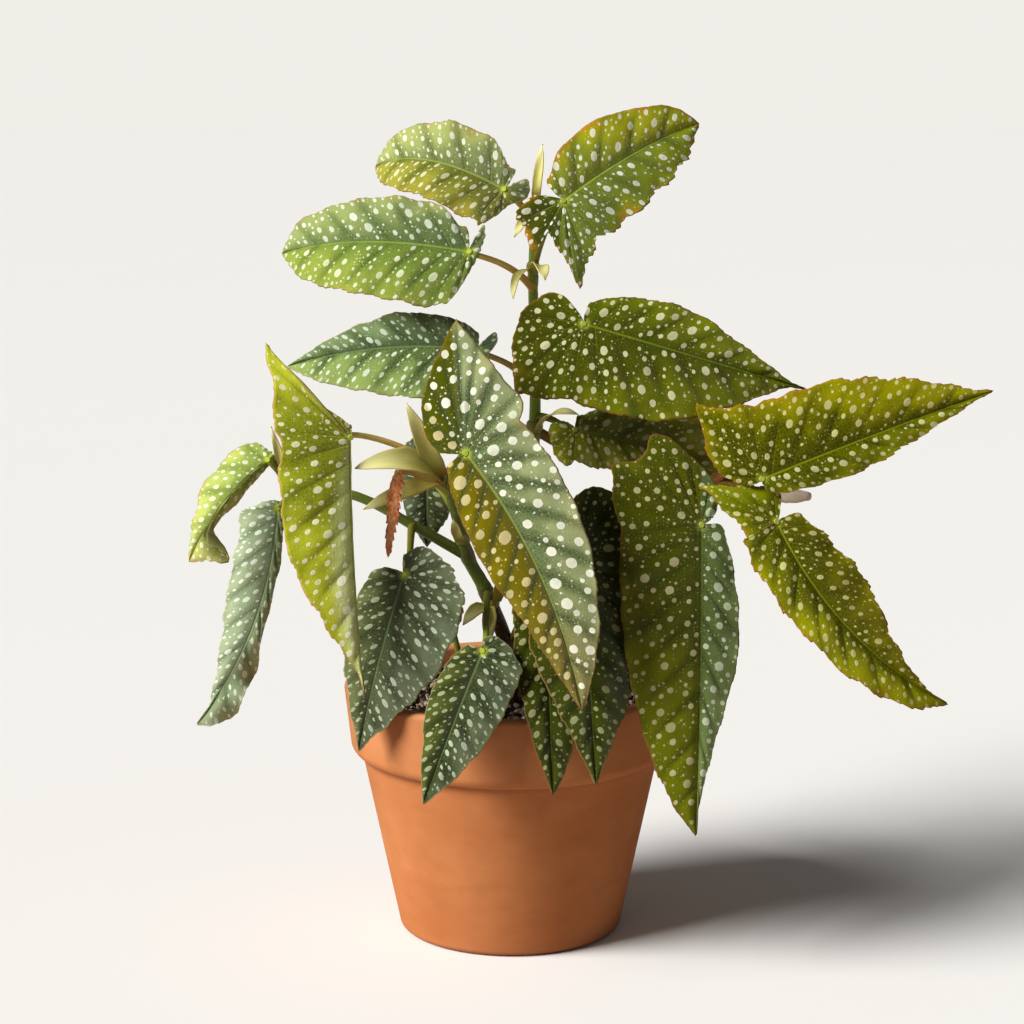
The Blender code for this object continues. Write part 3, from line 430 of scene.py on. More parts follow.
# Each leaf: where the stalk meets the blade, the tip, the way the blade faces, which half is the wing, the
# half widths, the wing's shoulder, point and heel as (reach, degrees from the midrib), how the midrib bows
# up and sweeps, how the halves fold, how full they are near the tip, how square the narrow half's base is,
# how jagged the margins are, where the stalk starts on the cane, and the look.
leafDefaults = dict(shoulder=[], sweep=0, fold=3, full=0.0, square=0.62, jagged=0.6)
leaves = {
    "leaf_top_right": dict(
        base=(23, -16, 331), tip=(83, 8, 363), faces=(0.15, -1.0, 0.35), wing=-1, wide=24.8, narrow=21.3,
        point=(39.7, 117), heel=[(18.5, 147), (26.3, 160), (22.3, 203), (15, 226)], bow=5, sweep=-2, fold=4,
        full=0.5, fullNarrow=0.8, look="green", jagged=(1.5, 0.3), stalk=(10, 8, 299),
    ),
    "leaf_top_left": dict(
        base=(-3, -4, 335), tip=(-61, 30, 342), faces=(-0.1, -1.0, 0.45), wing=1, wide=19.5, narrow=20.5,
        point=(21, 84), heel=[(9, 132), (11, 185), (13, 208), (12, 231)], bow=13, sweep=-3, fold=2,
        full=0.8, fullNarrow=0.95, square=0.5, look="tawny", jagged=0.8, stalk=(11, 6, 318),
    ),
    "leaf_upper_left": dict(
        base=(-18, -16, 309), tip=(-102, 14, 305), faces=(0.0, -1.0, 0.35), wing=1, wide=27.5, narrow=21,
        point=(26, 77), heel=[(15, 90), (6, 130), (7, 203), (15, 250)], bow=12, sweep=-2, full=0.65,
        fullNarrow=1.0, look="fresh", jagged=0.8, stalk=(10, 8, 290),
    ),
    "leaf_mid_left": dict(
        base=(-15, -14, 266), tip=(-99, -4, 257), faces=(0.0, -1.0, 0.5), wing=1, wide=25, narrow=16,
        point=(21, 80), heel=[(10, 105), (7, 150), (10, 205), (12, 230)], bow=5, sweep=-3, full=0.36,
        fullNarrow=0.0, look="sage", stalk=(11, 9, 245),
    ),
    "leaf_upper_right": dict(
        base=(32, -20, 278), tip=(129, -26, 250), faces=(0.0, -1.0, 0.3), wing=-1, wide=35, narrow=19.6,
        shoulder=[(36, 92)], point=(43, 117), heel=[(34, 145), (29, 175), (23, 200), (16, 216)], bow=6,
        sweep=1, full=-0.3, fullNarrow=-0.2, look="bright", jagged=0.55, stalk=(10, 8, 262),
    ),
    "leaf_centre": dict(
        base=(-19, -62, 228), tip=(30, -100, 125), faces=(-0.12, -1.0, 0.25), wing=1, wide=28.5, narrow=20,
        shoulder=[(33.5, 92), (37.3, 116)], point=(62, 147), heel=[(37.5, 171), (25, 194), (14, 222)],
        bow=5, sweep=8, fold=5, full=0.2, look="centre", jagged=0.5, stalk=(-27, -25, 206),
    ),
    "leaf_left_tall": dict(
        base=(-68, -52, 233), tip=(-62, -74, 124), faces=(0.4, -1.0, 0.2), wing=-1, wide=30.8, narrow=17,
        shoulder=[(33.5, 98), (38.5, 121)], point=(55.5, 139), heel=[(30, 136), (16, 141), (6.5, 180)],
        bow=3, sweep=2.5, full=-0.33, fullNarrow=0.0, fold=-6, backFold=-72, look="yellow", jagged=0.7,
        stalk=(-29, -27, 213),
    ),
    "leaf_far_left_upper": dict(
        base=(-105, -38, 221), tip=(-139, -48, 178), faces=(-0.3, -1.0, 0.4), wing=-1, wide=16, narrow=6.5,
        point=(12, 110), heel=[(6, 150), (8, 200), (13, 235)],
        tipEdge=[(0.93, 7.5), (0.86, 15), (0.825, 3.5), (0.7, 4.5)], bow=7, sweep=1, fold=-8, backFold=-70,
        look="lime", jagged=0.9, stalk=(-97, -30, 208),
    ),
    "leaf_far_left_lower": dict(
        base=(-102, -24, 197), tip=(-138, -40, 103), faces=(-0.2, -1.0, 0.15), wing=-1, wide=18, narrow=5,
        point=(14.5, 92), heel=[(10.5, 100), (6.5, 125), (4.5, 170), (5, 215)],
        tipEdge=[(0.94, 8), (0.82, 11.5), (0.66, 9), (0.52, 6)], bow=4, sweep=-9, fold=0, backFold=-35,
        full=-0.33, look="grey", jagged=0.9, stalk=(-90, -28, 206),
    ),
    "leaf_low_left": dict(
        base=(-46, -45, 172), tip=(-66, -58, 96), faces=(-0.35, -1.0, 0.2), wing=1, wide=31.5, narrow=19.5,
        shoulder=[(30, 87)], point=(22.5, 113), heel=[(17.5, 148), (13, 178), (10, 200)], bow=4, fold=4,
        square=0.85, look="teal", jagged=0.9, stalk=(-43, -21, 189),
    ),
    "leaf_low_centre": dict(
        base=(-12, -70, 144), tip=(-37, -94, 83), faces=(-0.1, -1.0, 0.3), wing=1, wide=20, narrow=14.2,
        shoulder=[(19, 88)], point=(13, 116), heel=[(10, 150), (9, 172), (6, 195)], bow=3, full=0.15,
        look="moss", jagged=0.5, stalk=(-10, -12, 156),
    ),
    "leaf_low_middle": dict(
        base=(15, -48, 165), tip=(18, -85, 84), faces=(0.0, -1.0, 0.3), wing=-1, wide=15, narrow=16,
        shoulder=[(16, 90)], point=(15, 125), heel=[(12, 160), (8, 195)], bow=8, full=0.1, fullNarrow=0.5,
        look="shade", stalk=(0, -6, 131),
    ),
    "leaf_low_right": dict(
        base=(30, -44, 183), tip=(36, -97, 92), faces=(0.1, -1.0, 0.3), wing=1, wide=26, narrow=25,
        shoulder=[(26, 95)], point=(34, 138), heel=[(34, 158), (29, 176), (20, 195), (10, 222)], bow=4,
        look="shade", stalk=(7, 11, 172),
    ),
    "leaf_right_hanging": dict(
        base=(82, -52, 195), tip=(79, -87, 67), faces=(0.12, -1.0, 0.15), wing=-1, wide=36, narrow=16.5,
        shoulder=[(38, 96)], point=(47.5, 123),
        heel=[(39.5, 139), (45.5, 153), (35, 168), (20, 198), (10, 225)], bow=4, fold=4, full=0.33,
        fullNarrow=-0.55, look="deep", jagged=0.5, stalk=(84, 2, 206),
    ),
    "leaf_right_upper": dict(
        base=(108, -50, 215), tip=(205, -56, 254), faces=(0.0, -1.0, 0.1), wing=1, wide=31, narrow=13,
        shoulder=[(35, 84), (37, 101)], point=(45, 109), heel=[(24, 141), (15, 160), (9, 185)], bow=4,
        sweep=1, look="olive", jagged=1.0, stalk=(92, -3, 206),
    ),
    "leaf_right_lower": dict(
        base=(114, -55, 197), tip=(188, -68, 120), faces=(0.4, -1.0, 0.3), wing=-1, wide=19.5, narrow=22,
        shoulder=[(16, 92)], point=(37.5, 138), heel=[(22, 165), (19, 188), (14, 212)], bow=6, sweep=12,
        full=0.75, fullNarrow=-0.5, look="golden", jagged=1.1, stalk=(104, -10, 204),
    ),
    "leaf_inner_centre": dict(
        base=(29, -6, 229), tip=(84, 2, 212), faces=(-0.1, -1.0, 0.6), wing=-1, wide=16, narrow=14,
        shoulder=[(18, 92)], point=(16, 120), heel=[(13, 150), (12, 180), (8, 205)], bow=4, look="dark",
        stalk=(11, 10, 232),
    ),
    "leaf_inner_right": dict(
        base=(58, 26, 236), tip=(96, 22, 196), faces=(0.1, -1.0, 0.4), wing=1, wide=21, narrow=18,
        shoulder=[(20, 92)], point=(20, 125), heel=[(16, 155), (11, 190)], bow=4, look="dark",
        stalk=(62, 14, 206),
    ),
    "leaf_behind_bracts": dict(
        base=(-37, -9, 208), tip=(-37, -13, 177), faces=(0.0, -1.0, 0.1), wing=-1, wide=12, narrow=12,
        shoulder=[(13.5, 100)], point=(17.6, 130), heel=[(19, 152), (24.4, 176), (24, 190), (15, 205)],
        bow=2, slot="deep_leaf", look="teal", stalk=(-24, -21, 194),
    ),
    "leaf_basal": dict(
        base=(-30, -22, 151), tip=(-45, -27, 127), faces=(-0.1, -1.0, 0.2), wing=1, wide=10, narrow=8,
        shoulder=[(10, 95)], point=(10, 130), heel=[(8, 160), (6, 195)], bow=2, look="green",
        stalk=(-17, -14, 98),
    ),
    "leaf_back_high": dict(
        base=(36, 34, 268), tip=(66, 88, 238), faces=(0.2, 0.6, 1.0), wing=1, wide=24, narrow=19,
        shoulder=[(25, 95)], point=(34, 130), heel=[(24, 160), (16, 195), (10, 220)], bow=8, sweep=2,
        fold=6, look="green", stalk=(10, 9, 258),
    ),
    "leaf_back_middle": dict(
        base=(-2, 44, 196), tip=(-4, 94, 132), faces=(0.0, 1.0, 0.7), wing=-1, wide=21, narrow=18,
        shoulder=[(22, 95)], point=(27, 135), heel=[(21, 160), (15, 195), (9, 220)], bow=8, sweep=2, fold=6,
        look="deep", stalk=(10, 10, 196),
    ),
    "leaf_back_right": dict(
        base=(68, 48, 212), tip=(84, 92, 142), faces=(0.3, 1.0, 0.6), wing=1, wide=23, narrow=17,
        shoulder=[(24, 95)], point=(32, 140), heel=[(24, 165), (15, 195), (9, 220)], bow=8, sweep=2, fold=6,
        look="fresh", stalk=(46, 16, 210),
    ),
    "leaf_back_low": dict(
        base=(24, 48, 160), tip=(44, 100, 96), faces=(0.3, 1.0, 0.6), wing=-1, wide=21, narrow=16,
        shoulder=[(22, 95)], point=(28, 140), heel=[(20, 165), (13, 195), (8, 220)], bow=7, sweep=2, fold=5,
        look="teal", stalk=(5, 11, 128),
    ),
}


def polar(reach, degrees):
    return Vector((reach * math.cos(math.radians(degrees)), reach * math.sin(math.radians(degrees))))


def midribCurve(leaf):  # from a share of the midrib to its place, run, normal and side, and its length
    base, tip, facing = (Vector(leaf[k]) for k in ("base", "tip", "faces"))
    chord = (tip - base).normalized()
    up = (facing - chord * facing.dot(chord)).normalized()
    out = up.cross(chord) * leaf["wing"]
    middle = (base + tip) / 2 + up * leaf["bow"] * 2 + out * leaf["sweep"] * 2

    def at(share):
        t = max(0.0, min(1.0, share))
        run = (2 * (1 - t) * (middle - base) + 2 * t * (tip - middle)).normalized()
        place = (1 - t) ** 2 * base + 2 * t * (1 - t) * middle + t ** 2 * tip
        normal = (up - run * up.dot(run)).normalized()
        return place, run, normal, normal.cross(run) * leaf["wing"]

    steps = [at(i / 20)[0] for i in range(21)]
    return at, sum((b - a).length for a, b in zip(steps, steps[1:]))


def tipShares(full):  # the shares of a half's width that are left at its two places nearest the tip
    least, near, nearMore = outlineRules["nearTip"]
    middle, middleMore = outlineRules["nextToIt"]
    return max(least, near + nearMore * full), middle + middleMore * full


def bladeRows(leaf, length):
    # each row's inner and outer point on the flat leaf, from the notch round the wing to the tip and back
    wide, narrow = leaf["wide"], leaf["narrow"]
    rules = outlineRules
    shares = (*tipShares(leaf["full"]), *rules["wingLow"])
    smallShares = (*tipShares(leaf.get("fullNarrow", leaf["full"])), *rules["narrowLow"])
    wingSide = [Vector((length * at, wide * share)) for at, share in zip(rules["wingAt"], shares)]
    smallSide = [
        Vector((length * at, -narrow * share)) for at, share in zip(rules["narrowAt"], smallShares)
    ]
    if "tipEdge" in leaf:
        smallSide[:2] = [Vector((length * share, -reach)) for share, reach in leaf["tipEdge"]]
    back = [*leaf["shoulder"], leaf["point"]]
    turn = min(rules["mostTurn"], back[0][1] - rules["turnBefore"])
    wingEnd = polar(wide * rules["wingReach"] / math.sin(math.radians(turn)), turn)
    wingEdge = [Vector((length, 0)), *wingSide, wingEnd]
    notchAngle = leaf["heel"][-1][1] + rules["notchBeyond"]
    smallTurn = min(rules["mostSmallTurn"], 360 - notchAngle - rules["smallGap"])
    smallEnd = polar(narrow * leaf["square"], rules["smallShoulder"] - smallTurn)
    smallEdge = [Vector((length, 0)), *smallSide, smallEnd]
    notch = polar(leaf["heel"][-1][0] * rules["notchReach"], notchAngle)
    heelEdge = [polar(*leaf["point"]), *(polar(*p) for p in leaf["heel"]), notch]
    backEdge = [wingEnd, *(polar(*p) for p in back)]
    smallBack = [smallEnd, *(polar(narrow * share, more - smallTurn) for share, more in rules["smallBack"])]
    spacing = leafRules["rowSpacing"]
    count = round(max(spreadLength(wingEdge), length) / spacing)
    heel = spread(heelEdge, max(6, round(spreadLength(heelEdge) / spacing)))
    wing = spread(backEdge, max(4, round(spreadLength(backEdge) / spacing)))
    forward, behind = spread(wingEdge, count), spread(smallEdge, count)
    small = spread(smallBack, max(4, round(spreadLength(smallBack) / spacing)))
    origin = Vector((0, 0))
    ribs = [
        Vector((length * (1 - i / count) ** leafRules["ribBunching"], 0)) for i in range(count + 1)
    ]
    rows = [(origin, p) for p in reversed(heel)]
    rows += [(origin, p) for p in reversed(wing[1:-1])]
    tipRow = len(rows) + count
    rows += list(zip(reversed(ribs), reversed(forward)))
    rows += list(zip(ribs[1:], behind[1:]))
    rows += [(origin, p) for p in small[1:]]
    return rows, tipRow


def margin(fromTip, leafSeed):  # how far the margin draws in: small forward teeth on broad lobes
    pitch, lobe = leafRules["toothPitch"], leafRules["lobePitch"]
    wobble = noise.noise(Vector((fromTip / marginRules["wobbleLump"], leafSeed, 0)))
    share = (fromTip / pitch + wobble * marginRules["wobble"]) % 1.0
    rise = marginRules["toothRise"]
    tooth = 1 - share / rise if share < rise else (share - rise) / (1 - rise)
    plain, varied = marginRules["fade"]
    drift = noise.noise(Vector((fromTip / marginRules["fadeLump"], leafSeed, 5)))
    fade = min(1.0, fromTip / marginRules["fadeReach"]) * (plain + varied * drift)
    lobes = 0.5 - 0.5 * math.cos(math.tau * (fromTip / lobe + marginRules["lobeWobble"] * wobble))
    teeth = leafRules["toothDepth"] * tooth * max(marginRules["leastTeeth"], fade)
    return teeth + leafRules["lobeDepth"] * lobes * min(1.0, fromTip / marginRules["lobeReach"])


def bladePoint(leaf, curve, length, flat, lift):
    along, out = flat
    place, run, normal, side = curve(along / length)
    if along < 0:
        place = place + run * along - normal * (along / length) ** 2 * length * leafRules["wingLean"]
    fold = math.radians(leaf["fold"] if out > 0 else leaf.get("backFold", leaf["fold"]))
    if "tipEdge" in leaf:  # the tip lies open
        opened, over = leafRules["tipOpens"]
        fold *= max(0.0, min(1.0, (opened - along / length) / over))
    widest = leaf["wide"] if out > 0 else leaf["narrow"]
    edge = (abs(out) / widest) ** 2
    waves = math.tau * along / leafRules["waveLength"] + math.copysign(0.9, out)
    wave = leafRules["edgeWave"] * math.sin(waves)
    droop = edge * (widest * leafRules["edgeDroop"] - wave)
    rise = abs(out) * math.sin(fold) - droop + lift
    return place + side * out * math.cos(fold) + normal * rise


spotRules = {  # of each size, large first: tries, least radius, radii apart and the free space in mm
    "large": (420, 0.62, 0, 1.3), "middling": (520, 0.6, 3.1, 1.5), "tiny": (460, 0.6, 2.0, 1.1),
    "tinyRadius": 0.5, "veinGap": 0.3, "midribGap": 0.7, "marginGap": 0.8,
}


def veinBeside(rows, tipRow, row, share):  # the nearest side vein's place at this share of the way out
    every = max(4, round(leafRules["veinPitch"] / leafRules["rowSpacing"]))
    step = (row - tipRow) % every
    vein = rows[row - step if step < every / 2 else min(len(rows) - 1, row + every - step)]
    return vein[0].lerp(vein[1], share)


def placeSpots(rows, tipRow, look, draws):  # each spot: place, radius, the way it points, and a tone
    placed = []
    large, middling, largeApart = look["spots"]
    for size, most in (("large", large), ("middling", middling), ("tiny", spotRules["tinyRadius"])):
        tries, least, apart, free = spotRules[size]
        for _ in range(tries):
            row, share = draws.randrange(2, len(rows) - 2), draws.random() ** 0.8
            inner, outer = rows[row]
            reach = (outer - inner).length
            place = inner.lerp(outer, share)
            radius = most * draws.uniform(least, 1.12)
            if size == "large":
                radius *= min(1.0, 0.5 + share * 1.6, 0.45 + (1 - share) * 1.5, 0.5 + reach / 30)
            toMargin = (1 - share) * reach
            toMidrib = abs(place.y) if place.x > 0 else place.length - 1.5
            toVein = (place - veinBeside(rows, tipRow, row, share)).length
            if toMargin < radius + spotRules["marginGap"] or toMidrib < radius + spotRules["midribGap"]:
                continue
            if size != "tiny" and toVein < radius * 0.75 + spotRules["veinGap"]:
                continue
            spacing = (apart or largeApart) * radius
            if any((place - other).length < max(radius + r + free, spacing) for other, r, _, _ in placed):
                continue
            placed.append((place, radius, (outer - inner).normalized(), draws.random()))
    return placed


def laySpots(bm, flats, placed, stretch):
    # each face measures itself from its nearest spot: the map is 1 long on that spot's edge
    tree = kdtree.KDTree(len(placed))
    for i, (place, _, _, _) in enumerate(placed):
        tree.insert(place.to_3d(), i)
    tree.balance()
    spotMap, toneMap = bm.loops.layers.uv.new("spot"), bm.loops.layers.uv.new("tone")
    for face in bm.faces:
        centre = sum((flats[v.index] for v in face.verts), Vector((0, 0))) / len(face.verts)
        near = tree.find_n(centre.to_3d(), 5)
        place, radius, along, tone = placed[min(near, key=lambda found: found[2] - placed[found[1]][1])[1]]
        for loop in face.loops:
            gap = flats[loop.vert.index] - place
            across = along.x * gap.y - along.y * gap.x
            loop[spotMap].uv = (gap.dot(along) / radius / stretch ** 0.5, across / radius * stretch ** 0.5)
            loop[toneMap].uv = (tone, radius)


def makeBlade(name, leaf, leafSeed, look, materials):
    curve, length = midribCurve(leaf)
    rows, tipRow = bladeRows(leaf, length)
    lengths = pathLengths([outer.to_3d() for _, outer in rows])
    fromTip = [abs(s - lengths[tipRow]) for s in lengths]
    bm, cells = sheetGrid(len(rows), leafRules["columns"])
    veins, flats, edges = [], [], []
    jagged = leaf["jagged"] if isinstance(leaf["jagged"], tuple) else (leaf["jagged"],) * 2
    for vertex, (row, column) in zip(bm.verts, cells):
        inner, outer = rows[row]
        share = (column / leafRules["columns"]) ** leafRules["edgeBunching"]
        reach = (outer - inner).length
        drawn = 0.0
        if reach > 3:
            drawn = jagged[row > tipRow] * margin(fromTip[row], leafSeed) * share ** marginRules["edgePower"]
        flat = inner.lerp(outer, share * (1 - min(leafRules["mostDrawn"], drawn / max(reach, 1e-6))))
        toVein = min((flat - veinBeside(rows, tipRow, row, share)).length, leafRules["veinReach"])
        groove = leafRules["midribGroove"] * math.exp(-(abs(flat.y) / leafRules["grooveHalf"]) ** 2)
        midribDip = groove if flat.x > 0 else 0.0
        pleat = leafRules["pleat"] * min(1.0, toVein / leafRules["pleatReach"]) ** 0.7
        pleat *= math.sin(math.pi * min(1.0, share * leafRules["pleatEnds"]))
        lump = leafRules["dimpleLump"]
        dimple = leafRules["dimple"] * noise.noise(Vector((flat.x / lump, flat.y / lump, leafSeed)))
        lift = pleat + dimple * min(1.0, reach * share / lump) - midribDip
        vertex.co = bladePoint(leaf, curve, length, flat, lift) * mm
        veins.append((toVein, share))
        flats.append(flat)
        edges.append(((1 - share) * reach, reach))
    layMaps(bm, {"veins": veins, "flat": flats, "edge": edges})
    laySpots(bm, flats, placeSpots(rows, tipRow, look, random.Random(leafSeed)), look["stretch"])
    closeSheet(bm, Vector(leaf["faces"]))
    piece = finishedPiece(name + "_blade", bm, materials, name)
    thicken(piece, leafRules["blade"])


def spotLayer(place, cell, radius, kept, near):
    # round spots at random in cells this wide, with this share kept, each shrunk by near
    cells = place.node(
        "ShaderNodeTexVoronoi", {"voronoi_dimensions": "2D"},
        {"Vector": place, "Scale": 1 / cell, "Randomness": 0.72},
    )
    draw, pick, _ = parts(cells.also("Color"))
    size = (0.5 + 0.5 * draw) * radius * near
    inside = (size - cells * cell).rise(-0.12, 0.12)
    return inside * pick.maths("LESS_THAN", pick, kept)


def leafSkin(name, look, leafSeed):
    material, shader, start = startMaterial(name)
    flat, veins = uvMap(start, "flat"), uvMap(start, "veins")
    along, out, _ = parts(flat)
    toVein, share, _ = parts(veins)
    toMargin, _, _ = parts(uvMap(start, "edge"))
    reachAlong = (along / look["length"]).capped()
    broad = flat.moved((leafSeed * 7.3, leafSeed * 3.1, 0)).grain(0.07, 3.0)
    patches = flat.moved((leafSeed * 2.9, 11, 0)).grain(0.2, 3.0, 0.6)
    fine = flat.grain(1.6, 3.0, 0.65)
    ridge = (reachAlong * math.pi).sine() * look["ridge"]
    wingHalf = (out - ridge).rise(-look["blend"], look["blend"])
    hearts, rims, spotTints = zip(look["wing"], look["narrow"])
    heart, outer, spotTint = (wingHalf.tint(*reversed(pair)) for pair in (hearts, rims, spotTints))
    if "lobe" in look:
        behind = along.fall(-24, -4)
        if "lobeFrom" in look:  # only on the far side of a line from the joint at this many degrees
            turn = math.radians(look["lobeFrom"])
            behind = (out * math.cos(turn) - along * math.sin(turn)).rise(-1.0, 3.0) * along.fall(-6.0, 3.0)
        heart, outer = behind.tint(heart, look["lobe"]), behind.tint(outer, look["lobe"])
    pleatShading = look["furrow"]
    lit = share * 0.75 + (broad - 0.5) * 0.9 + (patches - 0.5) * 0.35
    # lighter away from the side veins, on the pleats' ridges: a painted highlight
    lit = lit + toVein.rise(1.0, 6.0) * 0.3 * pleatShading
    lit = lit + (reachAlong - 0.35) * look["tipLift"] + 0.18 * (1 - pleatShading)
    ground = lit.rise(0.25, 1.0).tint(heart, outer)
    if "tip" in look:
        ground = ((reachAlong + (broad - 0.5) * 0.4).rise(0.55, 0.95) * 0.8).tint(ground, look["tip"])
    # darker along the side veins, in the pleats' furrows: painted shade
    furrow = toVein.fall(0.1, 2.8) * (1 - share * 0.5) * (0.35 + patches * 0.6) * pleatShading
    ground = furrow.tint(ground, [c * 0.42 for c in hearts[0]])
    # darker beside the midrib, forward of the joint, where the halves fold: painted shade in the fold
    fold = out.size().fall(0.6, 4.5) * along.rise(0.0, 8.0) * (1 - reachAlong) * 0.45
    ground = fold.tint(ground, [c * 0.6 for c in hearts[0]])
    warm = (share + (broad - 0.5) * 1.2).rise(0.84, 1.2) * look["warm"]
    ground = warm.tint(ground, look["warmColour"])
    cells = flat.node("ShaderNodeTexVoronoi", {"voronoi_dimensions": "2D", "feature": "DISTANCE_TO_EDGE"},
                      {"Vector": flat, "Scale": 0.55})
    net = cells.fall(0.03, 0.2)
    ground = (net * (0.1 + patches * 0.25)).tint(ground, outer)
    glint = outer.node("ShaderNodeVectorMath", {"operation": "SCALE"}, {0: outer, "Scale": 1.6})
    ground = ((fine - 0.5).size() * 0.5).tint(ground, glint)
    specks = spotLayer(flat, 1.5, 0.3, 0.28, patches.rise(0.3, 0.6))
    ground = (specks * 0.6).tint(ground, spotTint)
    across, down, _ = parts(uvMap(start, "spot"))
    tone, radius, _ = parts(uvMap(start, "tone"))
    fromSpot = distance(across, down) * (0.84 + flat.grain(0.7, 2.0) * 0.32)
    spots = ((fromSpot - 1) * radius).fall(-0.13, 0.13)
    core = fromSpot.fall(0.1, 0.75) * fine.rise(0.35, 0.75)
    spotGround = (core * 0.35).tint(spotTint, [c * 0.5 for c in spotTints[0]])
    ground = (spots * (0.96 - tone * 0.3)).tint(ground, spotGround)
    midrib = out.size().fall(0.1, 0.95 - reachAlong * 0.6) * along.rise(-0.5, 0.5)
    fromJoint = distance(along, out)
    vein = toVein.fall(0.05, 0.35) * fromJoint.fall(4.0, 26.0) * 0.5
    ground = vein.tint(ground, look["vein"])
    ground = (midrib * (look["midrib"] - reachAlong * 0.6)).tint(ground, look["vein"])
    dried = (reachAlong + (broad - 0.5) * 0.06).rise(0.93, 1.0) * look["tan"]
    ground = dried.tint(ground, (0.5, 0.36, 0.12))
    ground = (fromJoint.fall(0.6, 3.6) * 0.85).tint(ground, look["joint"])
    rim = toMargin.fall(0.15, 0.55 + broad * 0.6) * 0.9
    ground = rim.tint(ground, look["margin"])
    height = fine * 0.05 + spots * 0.1 - vein * 0.12 - midrib * 0.25
    height = height + flat.grain(0.5, 2.0) * 0.12 + net * 0.03
    finishSkin(shader, ground, 0.42 + spots * 0.12 + fine * 0.12, height, 1.0, 0.9)
    shader.inputs["Specular IOR Level"].default_value = look["gloss"]
    return material


def leafUnderside(name, look):
    material, shader, start = startMaterial(name)
    flat, veins = uvMap(start, "flat"), uvMap(start, "veins")
    along, out, _ = parts(flat)
    toVein, share, _ = parts(veins)
    broad = flat.grain(0.06, 3.0)
    pale = [c * 0.9 + 0.03 for c in look["wing"][1]]
    ground = (share * 0.5 + broad * 0.6).rise(0.25, 0.9).tint((0.14, 0.07, 0.035), pale)
    vein = toVein.fall(0.1, 0.7) * share.fall(0.3, 1.0)
    midrib = out.size().fall(0.2, 1.6) * along.rise(-0.5, 0.5)
    ground = (vein.maths("MAXIMUM", vein, midrib) * 0.8).tint(ground, (0.3, 0.22, 0.08))
    height = vein * 0.4 + midrib * 0.6 + flat.grain(1.4, 3.0) * 0.1
    finishSkin(shader, ground, 0.5 + broad * 0.1, height, 1.0, 0.8)
    return material


def stemSkin(name, low, high, streak, length, toBlade=False):
    # stalks: one colour at the cane, another at the blade, with fine lines along them
    material, shader, start = startMaterial(name)
    stem = uvMap(start, "stem")
    along, turn, _ = parts(stem)
    lines = stem.moved((0, 0, 0), (0.12, 26, 1)).grain(1.0, 2.0)
    drift = (stem.moved((0, 0, 0), (0.2, 4, 1)).grain(1.0) - 0.5) * 0.4
    ground = (along / length + drift).rise(0.0, 1.0).tint(low, high)
    ground = (lines.rise(0.45, 0.8) * 0.35).tint(ground, streak)
    if toBlade:
        ground = along.rise(length - 4.5, length - 1.5).tint(ground, jointColour)
    height = lines * 0.3 + objectPlace(start).grain(2.2) * 0.25
    finishSkin(shader, ground, 0.42 + lines * 0.15, height, 0.3, 0.6)
    return material


def stalkPath(leaf):
    start = Vector(leaf["stalk"])
    curve, length = midribCurve(leaf)
    place, run, normal, _ = curve(0)
    end = place + normal * leafRules["stalkLift"]
    reach = (end - start).length
    outward = (end - start).normalized() + Vector((0, 0, leafRules["stalkRise"]))
    below, behind = leafRules["stalkArrives"]
    first = start + outward * reach * leafRules["stalkLeaves"]
    second = end - normal * reach * below - run * reach * behind
    count = max(8, round(reach / leafRules["stalkSpacing"]))
    path = []
    for i in range(count + 1):
        t = i / count
        path.append(
            (1 - t) ** 3 * start + 3 * t * (1 - t) ** 2 * first
            + 3 * t ** 2 * (1 - t) * second + t ** 3 * end
        )
    return path


def makeStalk(name, leaf, material):
    path = stalkPath(leaf)
    lengths = pathLengths(path)
    radii = []
    for s in lengths:
        plain = leafRules["stalkRadius"] * (1 - leafRules["stalkTaper"] * s / lengths[-1])
        (foot, footReach), (top, topReach) = leafRules["footFlare"], leafRules["topFlare"]
        flare = foot * math.exp(-s / footReach) + top * math.exp(-(lengths[-1] - s) / topReach)
        radii.append(plain * (1 + flare))
    radii[-1] *= leafRules["stalkEnd"]
    bm = tubeMesh(path, radii, leafRules["stalkSides"])
    finishedPiece(name + "_stalk", bm, [material], name)


tanStalk = ((0.7, 0.45, 0.1), (0.75, 0.6, 0.16), (0.6, 0.34, 0.06))
stalkColours = {  # low, high and streak colours of each look's stalks
    "green": ((0.2, 0.19, 0.02), (0.3, 0.36, 0.04), (0.1, 0.16, 0.01)),
    "fresh": tanStalk, "tawny": tanStalk,
    "sage": ((0.62, 0.42, 0.11), (0.64, 0.54, 0.16), (0.5, 0.3, 0.06)),
    "yellow": ((0.74, 0.48, 0.11), (0.78, 0.62, 0.17), (0.64, 0.37, 0.07)),
    "olive": ((0.4, 0.13, 0.02), (0.34, 0.3, 0.03), (0.3, 0.07, 0.01)),
}


def makeLeaves():
    for number, (name, shape) in enumerate(leaves.items()):
        leafSeed = number + 1.37
        look = {**lookDefaults, **leafLooks[shape["look"]]}
        leaf = {**leafDefaults, "slot": look["slot"], **shape}
        look["length"] = midribCurve(leaf)[1]
        skins = [
            leafSkin(name + "_upper_side", look, leafSeed),
            leafUnderside(name + "_underside", look),
        ]
        makeBlade(name, leaf, leafSeed, look, skins)
        colours = stalkColours.get(leaf["look"], stalkColours["green"])
        reach = pathLengths(stalkPath(leaf))[-1]
        makeStalk(name, leaf, stemSkin(name + "_stalk_skin", *colours, reach, True))


makeLeaves()
print("leaves and stalks made")


# Canes

